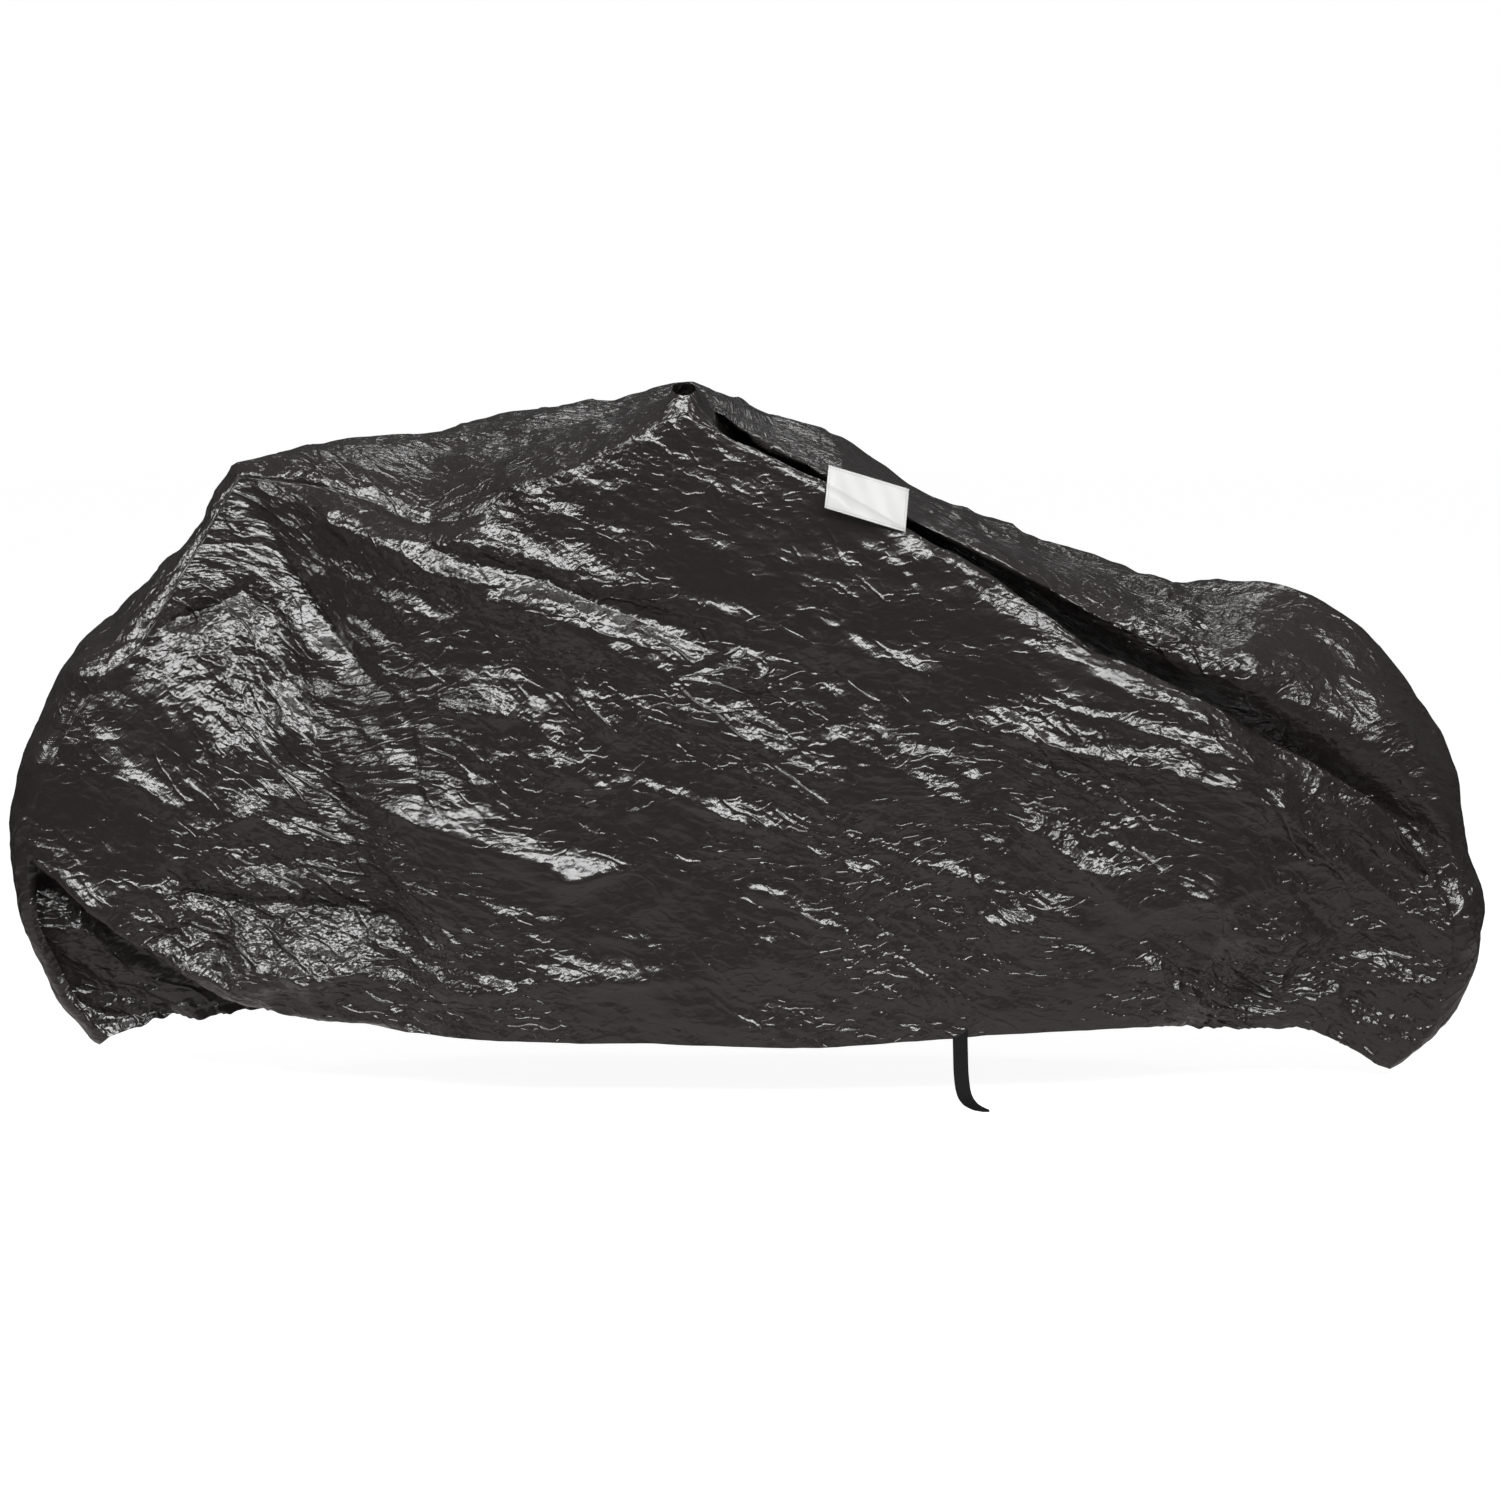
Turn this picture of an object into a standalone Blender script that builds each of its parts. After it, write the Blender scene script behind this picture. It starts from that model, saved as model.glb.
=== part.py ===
"""Bicycle cover in the shape in which it hangs in use.

The cover is one sheet of coated woven cloth. It runs from the near hem up the near side, over
the top and down the far side, and it narrows to both ends, where the hem is drawn in. A label is
sewn over the near shoulder, and one end of a webbing tie hangs out of the near hem.

Frame: +X to the front, +Z up, near side at -Y. The tables give heights above the ground. The
origin is the point under the peak of the top by which the cover is held, so every height is
lowered by REST_HEIGHT when the meshes are made.
"""

import math

import bmesh
import bpy
import numpy as np

# Driving sizes, in metres
REST_HEIGHT = 1.143  # from the ground to the underside of the top at its peak
CLOTH_THICKNESS = 0.002
LABEL_THICKNESS = 0.0012
LABEL_CLEARANCE = 0.0055  # from the middle of the cloth to the middle of the label
WEBBING_THICKNESS = 0.0018
WEBBING_WIDTH = 0.024
HOLE_WIDTH = 0.040  # of the round hole at the peak
HOLE_HEIGHT = 0.044

# One row for each section across the cover, from the hem behind the rear end to the hem in front
# of the front end. A section runs from the near hem over the near shoulder to the crown. Out is
# the distance from the centre plane. Belly is Out halfway down the side. Stand is how far the top
# stands up just inside the shoulder. Round is 1 for a rounded top and 0 for a straight one, corner
# is 1 where the outline breaks, and cells is the mesh columns to the next section.
SECTION_COLUMNS = (
    "crownX", "crownY", "crownZ", "shoulderX", "shoulderOut", "shoulderZ", "belly",
    "hemX", "hemOut", "hemZ", "stand", "round", "corner", "cells",
)
SECTIONS = (
    (-0.982, 0.00, 0.058, -0.967, 0.030, 0.070, 0.036, -0.920, 0.036, 0.090, 0.000, 1.0, 1, 1),
    (-1.058, 0.00, 0.126, -1.026, 0.050, 0.132, 0.055, -0.878, 0.043, 0.100, 0.000, 1.0, 0, 1),
    (-1.106, 0.00, 0.230, -1.070, 0.065, 0.232, 0.072, -0.835, 0.062, 0.098, 0.000, 1.0, 0, 2),
    (-1.133, 0.00, 0.385, -1.085, 0.090, 0.385, 0.115, -0.765, 0.090, 0.108, 0.000, 1.0, 0, 3),
    (-1.075, 0.00, 0.610, -1.015, 0.110, 0.580, 0.138, -0.660, 0.116, 0.112, 0.000, 1.0, 0, 2),
    (-1.015, 0.00, 0.718, -0.955, 0.112, 0.672, 0.143, -0.610, 0.130, 0.108, 0.000, 1.0, 0, 2),
    (-0.948, 0.00, 0.762, -0.895, 0.105, 0.722, 0.148, -0.560, 0.145, 0.105, 0.000, 1.0, 1, 3),
    (-0.747, 0.00, 1.018, -0.735, 0.050, 1.002, 0.130, -0.450, 0.172, 0.101, 0.000, 0.8, 1, 3),
    (-0.570, 0.10, 1.052, -0.570, 0.115, 0.978, 0.190, -0.360, 0.205, 0.098, 0.000, 0.9, 0, 3),
    (-0.400, 0.17, 1.075, -0.405, 0.185, 0.925, 0.225, -0.270, 0.215, 0.096, 0.000, 0.9, 0, 3),
    (-0.270, 0.22, 1.100, -0.277, 0.250, 0.975, 0.240, -0.175, 0.220, 0.092, 0.000, 0.9, 0, 3),
    (-0.110, 0.29, 1.128, -0.115, 0.308, 1.055, 0.262, -0.075, 0.220, 0.092, 0.000, 0.6, 0, 3),
    (0.003, 0.33, 1.150, -0.004, 0.340, 1.104, 0.272, 0.000, 0.222, 0.090, 0.038, 0.0, 1, 3),
    (0.108, 0.31, 1.111, 0.098, 0.335, 1.062, 0.272, 0.100, 0.222, 0.087, 0.000, 0.0, 0, 3),
    (0.272, 0.28, 1.037, 0.232, 0.323, 0.990, 0.268, 0.225, 0.222, 0.086, 0.000, 0.0, 0, 3),
    (0.408, 0.25, 0.955, 0.350, 0.313, 0.922, 0.262, 0.337, 0.220, 0.092, 0.000, 0.0, 0, 3),
    (0.535, 0.20, 0.900, 0.475, 0.300, 0.853, 0.254, 0.450, 0.215, 0.099, 0.000, 0.0, 0, 3),
    (0.700, 0.14, 0.856, 0.640, 0.284, 0.751, 0.245, 0.630, 0.192, 0.108, 0.000, 0.1, 0, 3),
    (0.860, 0.07, 0.817, 0.780, 0.262, 0.668, 0.232, 0.760, 0.160, 0.107, 0.000, 0.2, 0, 3),
    (0.945, 0.03, 0.824, 0.860, 0.252, 0.624, 0.210, 0.850, 0.115, 0.094, 0.000, 0.1, 0, 3),
    (1.030, 0.00, 0.803, 0.930, 0.235, 0.585, 0.170, 0.930, 0.085, 0.090, 0.000, 0.15, 0, 3),
    (1.180, 0.00, 0.671, 1.040, 0.190, 0.520, 0.120, 1.010, 0.068, 0.090, 0.000, 0.35, 0, 2),
    (1.272, 0.00, 0.515, 1.145, 0.130, 0.445, 0.082, 1.052, 0.055, 0.074, 0.000, 0.7, 0, 2),
    (1.296, 0.00, 0.396, 1.230, 0.080, 0.338, 0.062, 1.080, 0.046, 0.060, 0.000, 1.0, 0, 2),
    (1.313, 0.00, 0.250, 1.262, 0.062, 0.240, 0.052, 1.104, 0.040, 0.046, 0.000, 1.0, 0, 2),
    (1.268, 0.00, 0.084, 1.226, 0.042, 0.088, 0.038, 1.126, 0.034, 0.034, 0.000, 1.0, 0, 1),
    (1.170, 0.00, 0.011, 1.162, 0.022, 0.014, 0.024, 1.142, 0.028, 0.021, 0.000, 1.0, 1, 0),
)
PEAK_ROW = 12  # the section through the peak
HOLE_COLUMN = 0.17  # a mesh column stands this share of a section to each side of the peak
STAND_SHARE = 0.02  # share of the way to the crown in which the top stands up

# The far side is as the near one, with a higher and wider shoulder and less of an edge
FAR_SHOULDER_RISE = 0.35  # share of the drop from crown to near shoulder that it is higher by
FAR_SHOULDER_OUT = 0.020  # least distance that it stands outside the crown
FAR_EDGE = 0.6

# Towards its shoulder a side turns in by two slopes, one after the other. Amount is how much of
# that there is at a section, first and second how far below the shoulder each slope begins.
EDGE_SLOPES = (0.50, 0.90)
EDGE_SOFTNESS = 0.005
EDGE_COLUMNS = ("section", "amount", "first", "second")
EDGE = (
    (7.2, 0.0, 0.020, 0.010),
    (8.0, 0.3, 0.020, 0.010),
    (11.7, 0.3, 0.020, 0.010),
    (12.0, 0.1, 0.015, 0.008),
    (12.9, 1.0, 0.013, 0.006),
    (14.0, 1.0, 0.016, 0.006),
    (15.0, 1.0, 0.032, 0.005),
    (16.0, 1.0, 0.038, 0.006),
    (17.0, 1.0, 0.038, 0.014),
    (18.0, 1.0, 0.030, 0.022),
    (19.0, 1.0, 0.031, 0.025),
    (20.5, 0.8, 0.056, 0.048),
    (22.5, 0.0, 0.060, 0.050),
)

# In front of the peak a valley lies behind the near shoulder. Share is how much of it there is at
# a section, and gap how high the edge of the fold behind it stands above the shoulder.
VALLEY_DEPTH = 0.055
VALLEY_COLUMNS = ("section", "share", "gap")
VALLEY = (
    (12.2, 0.0, 0.004),
    (13.2, 1.0, 0.005),
    (15.0, 1.0, 0.008),
    (16.0, 1.0, 0.018),
    (17.0, 1.0, 0.030),
    (18.0, 1.0, 0.048),
    (19.0, 1.0, 0.066),
    (21.0, 1.0, 0.070),
    (22.0, 0.7, 0.050),
    (23.5, 0.0, 0.000),
)
# Its profile from the shoulder over its floor, the cloth under the fold and the edge of the fold
# to the crown: mesh share of each of these places, and the share of the way to the crown there
VALLEY_PROFILE = ((0.0, 0.0), (0.14, 0.30), (0.30, 0.50), (0.46, 0.12), (1.0, 1.0))
VALLEY_UNDER = 0.45  # depth of the cloth under the fold, as a share of the floor's

# Mesh rows, as shares of the way: down the near side, up the near half of the top
NEAR_SIDE_ROWS = (
    0.0, 0.022, 0.050, 0.095, 0.15, 0.205, 0.26, 0.315, 0.37, 0.425, 0.48, 0.535, 0.59, 0.645,
    0.70, 0.755, 0.81, 0.865, 0.93, 1.0,
)
NEAR_TOP_ROWS = (0.0, 0.014, 0.045, 0.14, 0.22, 0.30, 0.46, 0.73, 1.0)
FAR_TOP_CELLS = 2
FAR_SIDE_CELLS = 5

# Folds of the two sides, each along an arc from start past bend to end, seen from that side.
# Rise is outwards, or inwards where it is less than 0, and half is where it has faded to a third.
FOLD_COLUMNS = (
    "name", "startX", "startZ", "bendX", "bendZ", "endX", "endZ", "rise", "half",
)
ARC_PIECES = 16
FOLD_SHARPNESS = 1.4  # 1 is a sharp edge, 2 a round one
FOLD_FADE = 0.2  # share of a fold's length in which it fades in, and out again
FOLD_END = 0.25  # share of its rise that is left at its ends
NEAR_FOLDS = (
    ("ridge from the rear peak", -0.72, 1.005, -0.30, 0.900, 0.11, 0.795, 0.030, 0.044),
    ("band under that ridge", -0.66, 0.945, -0.30, 0.765, 0.06, 0.650, 0.036, 0.050),
    ("crease down from the rear peak", -0.715, 0.970, -0.640, 0.780, -0.490, 0.650, -0.036, 0.034),
    ("crease over the rear end", -0.960, 0.750, -0.800, 0.770, -0.690, 0.840, -0.040, 0.032),
    ("swell on the rear end", -0.820, 0.535, -0.670, 0.600, -0.540, 0.625, 0.036, 0.065),
    ("crease across the rear end", -0.860, 0.325, -0.740, 0.310, -0.480, 0.300, -0.030, 0.034),
    ("shelf low at the rear", -0.780, 0.190, -0.640, 0.175, -0.450, 0.200, 0.034, 0.050),
    ("crease across that band", -0.460, 0.655, -0.450, 0.570, -0.418, 0.440, -0.014, 0.030),
    ("band across the middle", -0.580, 0.505, -0.370, 0.430, -0.110, 0.345, 0.030, 0.040),
    ("patch in the middle", 0.220, 0.595, 0.370, 0.525, 0.500, 0.455, 0.026, 0.045),
    ("fold above the hem", -0.460, 0.150, -0.220, 0.195, 0.040, 0.198, 0.020, 0.034),
    ("fold from the peak", 0.020, 1.030, 0.090, 0.900, 0.160, 0.760, 0.012, 0.034),
    ("fold to the corner", 0.380, 0.650, 0.650, 0.580, 0.920, 0.500, 0.028, 0.040),
    ("fold out of the corner", 0.920, 0.510, 1.060, 0.360, 1.200, 0.240, 0.024, 0.036),
    ("patches low in front", 0.510, 0.470, 0.620, 0.400, 0.750, 0.270, 0.026, 0.034),
    ("fold along the front end", 0.960, 0.125, 1.100, 0.165, 1.300, 0.170, 0.022, 0.024),
    ("pocket over that fold", 0.960, 0.165, 1.080, 0.235, 1.220, 0.235, -0.018, 0.028),
    ("slack in the middle", 0.150, 0.560, 0.350, 0.430, 0.620, 0.400, 0.012, 0.070),
)
FAR_FOLDS = (
    ("ridge from the rear peak", -0.68, 0.985, -0.28, 0.900, 0.12, 0.700, 0.028, 0.028),
    ("band under that ridge", -0.62, 0.900, -0.25, 0.760, 0.02, 0.620, 0.022, 0.032),
    ("crease down from the rear peak", -0.720, 0.940, -0.700, 0.780, -0.560, 0.600, -0.026, 0.026),
    ("crease over the rear end", -0.970, 0.730, -0.830, 0.760, -0.710, 0.850, -0.026, 0.024),
    ("swell on the rear end", -0.940, 0.620, -0.800, 0.540, -0.640, 0.500, 0.022, 0.080),
    ("low arc", -0.360, 0.400, -0.200, 0.440, -0.060, 0.340, 0.014, 0.032),
    ("fold above the hem", -0.300, 0.160, 0.000, 0.200, 0.300, 0.170, 0.018, 0.024),
    ("fold from the peak", 0.020, 1.000, 0.240, 0.700, 0.330, 0.420, 0.020, 0.026),
    ("upper fold to the corner", 0.420, 0.600, 0.680, 0.600, 0.900, 0.535, 0.018, 0.018),
    ("fold out of the corner", 0.920, 0.520, 1.060, 0.430, 1.210, 0.320, 0.024, 0.022),
    ("fold along the front end", 0.980, 0.160, 1.080, 0.200, 1.230, 0.180, 0.020, 0.020),
    ("slack in the middle", 0.180, 0.520, 0.400, 0.380, 0.640, 0.360, 0.010, 0.070),
)
# Folds and slack calm down near shoulder and hem and where the cover is narrow
CALM_SHOULDER = 0.125  # share of the side
CALM_HEM = 0.125
CALM_LEAST = 0.2  # what is left of them at the hem, and where the cover is narrowest
CALM_OUT = 0.12  # distance from the centre plane from which on they have their full size

# The flap: low at the back the near side hangs over in a lip, and comes out again from under it
# to the hem. Its folded edge, as points seen from the side, from back to front.
FLAP_EDGE = ((-1.16, 0.392), (-1.03, 0.340), (-0.90, 0.232), (-0.76, 0.140), (-0.61, 0.108))
FLAP_DEPTH = 0.040  # how far the cloth under the flap lies behind it
FLAP_GAP = 0.030  # how much deeper it lies right behind the edge
FLAP_GAP_REACH = 0.045
FLAP_SOFTNESS = 0.012
FLAP_CLEAR = 0.012  # least distance from the centre plane
FLAP_FRONT = -0.46  # X where the flap has ended
FLAP_FADE = 0.1  # length in which it ends there
FLAP_OUT = (0.045, 0.085)  # distances from the centre plane between which it sets in

# Slack: slow waves in the cloth of both sides
SLACK = 0.006
SLACK_WAVES = ((10.0, 14.0, 0.4), (22.0, -12.0, 1.9), (-16.0, 26.0, 3.1))  # in X, in Z, phase
FAR_PHASE = 2.0

# The label: a patch that hangs over the near shoulder at its lower rear corner and leans back
# above the shoulder. Its lower rear corner, and the slopes of its two edges seen from the side.
LABEL_LENGTH = 0.133
LABEL_HEIGHT = 0.066
LABEL_REAR_X = 0.215
LABEL_REAR_Z = 0.960
LABEL_FALL = math.radians(17.0)  # its long edges fall this much to the front
LABEL_SKEW = math.radians(6.0)  # its short edges lean this much to the front
LABEL_LEAN = 0.42  # how far it leans in for each metre that it stands above the shoulder
LABEL_WAVE = 0.0012
LABEL_WAVES = 1.5  # along its length
LABEL_CELLS = (8, 4)  # along and up
LABEL_SECTIONS = (PEAK_ROW, PEAK_ROW + 5)  # the sections that it lies between

# The tie: X, distance out and height of the middle of its free end, from inside the near hem down
# to the ground
TIE_PATH = (
    (0.4385, 0.2050, 0.132),
    (0.4385, 0.2080, 0.104),
    (0.4388, 0.2170, 0.074),
    (0.4395, 0.2300, 0.042),
    (0.4430, 0.2480, 0.016),
    (0.4510, 0.2720, 0.0050),
    (0.4620, 0.2970, 0.0022),
    (0.4740, 0.3180, 0.0015),
)
TIE_TIP = 0.45  # share of the width left at the tip
TIE_TIP_ROWS = 0.5  # rows of the path in which it narrows
TIE_CELLS = 3  # mesh cells for each row of the path


def clear_scene():
    for old in list(bpy.data.objects):
        bpy.data.objects.remove(old, do_unlink=True)


def principled(name, colour, roughness, metallic=0.0, coat=0.0):
    material = bpy.data.materials.new(name)
    material.use_nodes = True
    shader = material.node_tree.nodes["Principled BSDF"]
    shader.inputs["Base Color"].default_value = (*colour, 1.0)
    shader.inputs["Roughness"].default_value = roughness
    shader.inputs["Metallic"].default_value = metallic
    shader.inputs["Coat Weight"].default_value = coat
    return material


def columns_of(rows, names):
    """A table as one array for each of its named columns."""
    values = np.array(rows, dtype=float)
    return {name: values[:, i] for i, name in enumerate(names)}


def spacing(table):
    """Length of the cloth between neighbouring sections: the mean of crown and hem."""
    crown = np.stack([table["crownX"], table["crownZ"]])
    hem = np.stack([table["hemX"], table["hemZ"]])
    steps = [np.linalg.norm(np.diff(line, axis=1), axis=0) for line in (crown, hem)]
    return 0.5 * (steps[0] + steps[1])


def hermite(t, start, end, leaving, arriving):
    """The cubic from start to end that leaves and arrives with these slopes."""
    return (
        (1 + 2 * t) * (1 - t) ** 2 * start + t * (1 - t) ** 2 * leaving
        + t * t * (3 - 2 * t) * end + t * t * (t - 1) * arriving
    )


def along(table, name, at):
    """A column read between its sections by cubic curves, which break at the corner rows."""
    values, length, corner = table[name], spacing(table), table["corner"]
    slope = np.diff(values) / length
    before = np.concatenate([slope[:1], slope])
    after = np.concatenate([slope, slope[-1:]])
    l_before = np.concatenate([length[:1], length])
    l_after = np.concatenate([length, length[-1:]])
    smooth = (before * l_after + after * l_before) / (l_before + l_after)
    arriving = smooth * (1 - corner) + before * corner
    leaving = smooth * (1 - corner) + after * corner
    row = np.clip(np.floor(at).astype(int), 0, len(values) - 2)
    return hermite(
        at - row, values[row], values[row + 1],
        length[row] * leaving[row], length[row] * arriving[row + 1],
    )


def arc_distance(x, z, fold):
    """Distance from each point to a fold's arc, and how far along the arc the nearest point is."""
    t = np.linspace(0, 1, ARC_PIECES + 1)
    arc_x, arc_z = (
        (1 - t) ** 2 * fold["start" + axis] + 2 * t * (1 - t) * fold["bend" + axis]
        + t * t * fold["end" + axis] for axis in "XZ"
    )
    best = np.full(x.shape, np.inf)
    where = np.zeros(x.shape)
    for i in range(ARC_PIECES):
        dx, dz = arc_x[i + 1] - arc_x[i], arc_z[i + 1] - arc_z[i]
        share = ((x - arc_x[i]) * dx + (z - arc_z[i]) * dz) / (dx * dx + dz * dz)
        share = np.clip(share, 0, 1)
        gap = np.hypot(x - arc_x[i] - share * dx, z - arc_z[i] - share * dz)
        nearer = gap < best
        best = np.where(nearer, gap, best)
        where = np.where(nearer, (i + share) / ARC_PIECES, where)
    return best, where


def folded(x, z, folds):
    """What all folds of one side add outwards: each fades across its arc and at its ends."""
    total = np.zeros(x.shape)
    for row in folds:
        fold = dict(zip(FOLD_COLUMNS, row))
        gap, where = arc_distance(x, z, fold)
        fade = np.clip(np.minimum(where, 1 - where) / FOLD_FADE, FOLD_END, 1)
        total += fold["rise"] * fade * np.exp(-(gap / fold["half"]) ** FOLD_SHARPNESS)
    return total


def under_flap(x, out, z):
    """How far out the near side is once the cloth below the flap's edge is set back."""
    edge = np.array(FLAP_EDGE)
    above = z - np.interp(x, edge[:, 0], edge[:, 1])
    under = 0.5 - 0.5 * np.tanh(above / FLAP_SOFTNESS)
    nearest, furthest = FLAP_OUT
    back = np.clip((FLAP_FRONT - x) / FLAP_FADE, 0, 1)
    back = back * np.clip((out - nearest) / (furthest - nearest), 0, 1)
    depth = FLAP_DEPTH + FLAP_GAP * np.exp(-(above / FLAP_GAP_REACH) ** 2)
    return np.where(back > 0, np.maximum(out - depth * under * back, FLAP_CLEAR), out)


def slack(x, z, phase):
    """Slow waves, the same in any mesh because they depend on the place only."""
    waves = [np.sin(a * x + b * z + c + phase) for a, b, c in SLACK_WAVES]
    return SLACK * sum(waves) / len(waves)


def edge_turn(rib, depth):
    """How far a side is turned in at this depth below its shoulder: two softened ramps."""
    turn = 0.0
    for start, slope in zip(("first", "second"), EDGE_SLOPES):
        over = rib[start] - depth
        turn = turn + slope * 0.5 * (over + np.sqrt(over ** 2 + EDGE_SOFTNESS ** 2))
    return rib["amount"] * turn


def side_points(rib, share, folds, phase):
    """A side, from shoulder (share 0) to hem (share 1): X, distance out and height."""
    x = rib["shoulderX"] + share * (rib["hemX"] - rib["shoulderX"])
    z = rib["shoulderZ"] + share * (rib["hemZ"] - rib["shoulderZ"])
    out = (
        rib["shoulderOut"] * (1 - share) * (1 - 2 * share)
        + 4 * rib["belly"] * share * (1 - share)
        + rib["hemOut"] * share * (2 * share - 1)
    )
    calm = np.clip(share / CALM_SHOULDER, 0, 1) * np.clip((1 - share) / CALM_HEM, CALM_LEAST, 1)
    wide = np.clip(out / CALM_OUT, CALM_LEAST, 1)
    out = out + (folded(x, z, folds) + slack(x, z, phase)) * calm * wide
    return x, out - edge_turn(rib, rib["shoulderZ"] - z), z


def smooth_through(step, values):
    """A smooth curve through values that stand one step apart, each a number for each point."""
    values = np.stack([value + 0 * step for value in values])
    slope = np.gradient(values, axis=0)
    row = np.clip(np.floor(step).astype(int), 0, len(values) - 2)[None]
    start, end = (np.take_along_axis(values, row + more, axis=0)[0] for more in (0, 1))
    leaving, arriving = (np.take_along_axis(slope, row + more, axis=0)[0] for more in (0, 1))
    return hermite(step - row[0], start, end, leaving, arriving)


def valley_points(rib, share, edge):
    """The top where the valley is: down to its floor, back under the fold, round the edge of the
    fold and on to the crown."""
    places, inward = np.array(VALLEY_PROFILE).T
    step = np.interp(share, places, np.arange(len(places)))
    width = edge + rib["crownY"]
    shoulder = rib["shoulderZ"]
    heights = (
        shoulder, shoulder - VALLEY_DEPTH, shoulder - VALLEY_UNDER * VALLEY_DEPTH,
        shoulder + rib["gap"], rib["crownZ"],
    )
    back = np.clip((share - places[1]) / (1 - places[1]), 0, 1)
    x = rib["shoulderX"] + back * (rib["crownX"] - rib["shoulderX"])
    out = smooth_through(step, [edge - part * width for part in inward])
    return x, out, smooth_through(step, heights)


def top_points(rib, share):
    """The top, from shoulder (share 0) to crown (share 1): X, distance out and height."""
    bend, much = rib["round"], rib["share"]
    across = (1 - bend) * (1 - share) + bend * np.cos(share * math.pi / 2)
    down = (1 - bend) * (1 - share) + bend * (1 - np.sin(share * math.pi / 2))
    steep = (1 - share) * (1 - np.exp(-share / STAND_SHARE))
    x = rib["crownX"] + (rib["shoulderX"] - rib["crownX"]) * down
    z = rib["crownZ"] + (rib["shoulderZ"] - rib["crownZ"]) * down + rib["stand"] * steep
    edge = rib["shoulderOut"] - edge_turn(rib, 0.0)
    out = -rib["crownY"] + (edge + rib["crownY"]) * across
    valley = valley_points(rib, share, edge)
    return [plain + much * (deep - plain) for plain, deep in zip((x, out, z), valley)]


def near_rib(table, at):
    """The near half of the section at each place along the sections."""
    names = [name for name in SECTION_COLUMNS if name not in ("corner", "cells")]
    rib = {name: along(table, name, at) for name in names}
    rib["round"] = np.clip(rib["round"], 0, 1)
    for rows, columns in ((EDGE, EDGE_COLUMNS), (VALLEY, VALLEY_COLUMNS)):
        values = columns_of(rows, columns)
        for name in columns[1:]:
            rib[name] = np.interp(at, values["section"], values[name])
    return rib


def far_rib(near):
    """The far half seen from its own side, without the valley."""
    rib = dict(near)
    rib["shoulderOut"] = np.maximum(near["shoulderOut"], near["crownY"] + FAR_SHOULDER_OUT)
    drop = near["crownZ"] - near["shoulderZ"]
    rib["shoulderZ"] = near["shoulderZ"] + FAR_SHOULDER_RISE * drop
    rib["crownY"] = -near["crownY"]
    rib["amount"] = FAR_EDGE * near["amount"]
    rib["stand"] = 0 * near["stand"]
    rib["share"] = 0 * near["share"]
    return rib


def sheet_point(table, at, across):
    """The middle of the cloth. Across is 0 at the near hem, 1 at the near shoulder, 2 at the
    crown, 3 at the far shoulder and 4 at the far hem; at counts along the sections."""
    near = near_rib(table, at)
    far = far_rib(near)
    parts = (
        (across < 1, near, -1, lambda rib: side_points(rib, 1 - across, NEAR_FOLDS, 0.0)),
        ((across >= 1) & (across < 2), near, -1, lambda rib: top_points(rib, across - 1)),
        ((across >= 2) & (across < 3), far, 1, lambda rib: top_points(rib, 3 - across)),
        (across >= 3, far, 1, lambda rib: side_points(rib, across - 3, FAR_FOLDS, FAR_PHASE)),
    )
    points = np.zeros(at.shape + (3,))
    for chosen, rib, facing, shape in parts:
        x, out, z = shape(rib)
        if facing < 0:
            out = np.where(across < 1, under_flap(x, out, z), out)
        place = np.stack([x, facing * out, z - REST_HEIGHT], axis=-1)
        points[chosen] = place[chosen]
    return points


def mesh_columns(table):
    """Where the mesh columns stand along the sections, with one each side of the hole."""
    steps = [PEAK_ROW - HOLE_COLUMN, PEAK_ROW + HOLE_COLUMN, len(SECTIONS) - 1]
    for row, cells in enumerate(table["cells"][:-1].astype(int)):
        steps += [row + i / cells for i in range(cells)]
    return np.sort(np.array(steps, dtype=float))


def mesh_rows():
    """Where the mesh rows stand across the sheet, from the near hem to the far one."""
    quarters = (
        1 - np.array(NEAR_SIDE_ROWS),
        1 + np.array(NEAR_TOP_ROWS),
        np.linspace(2, 3, FAR_TOP_CELLS + 1),
        np.linspace(3, 4, FAR_SIDE_CELLS + 1),
    )
    return np.unique(np.concatenate(quarters))


def finish(name, mesh, material, thickness):
    """An object whose sheet is thickened evenly about its middle."""
    mesh.materials.append(material)
    mesh.shade_smooth()
    piece = bpy.data.objects.new(name, mesh)
    bpy.context.collection.objects.link(piece)
    solid = piece.modifiers.new("Thickness", "SOLIDIFY")
    solid.thickness = thickness
    solid.offset = 0.0
    solid.use_even_offset = False
    return piece


def sheet_mesh(name, points, skip=(), near_rows=0):
    """A mesh of the grid of points, without the cells in skip. Each cell is cut in two from its
    upper rear corner to its lower front one, as most folds run, on either side of the cover."""
    rows, columns = points.shape[:2]
    work = bmesh.new()
    verts = [[work.verts.new(points[i, j]) for j in range(columns)] for i in range(rows)]
    for i in range(rows - 1):
        for j in range(columns - 1):
            corners = [verts[i][j], verts[i][j + 1], verts[i + 1][j + 1], verts[i + 1][j]]
            if i < near_rows:
                corners = corners[1:] + corners[:1]
            if (i, j) not in skip:
                work.faces.new(corners[:3])
                work.faces.new([corners[0]] + corners[2:])
    bmesh.ops.delete(work, geom=[v for v in work.verts if not v.link_faces], context="VERTS")
    mesh = bpy.data.meshes.new(name)
    work.to_mesh(mesh)
    work.free()
    return mesh


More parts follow.
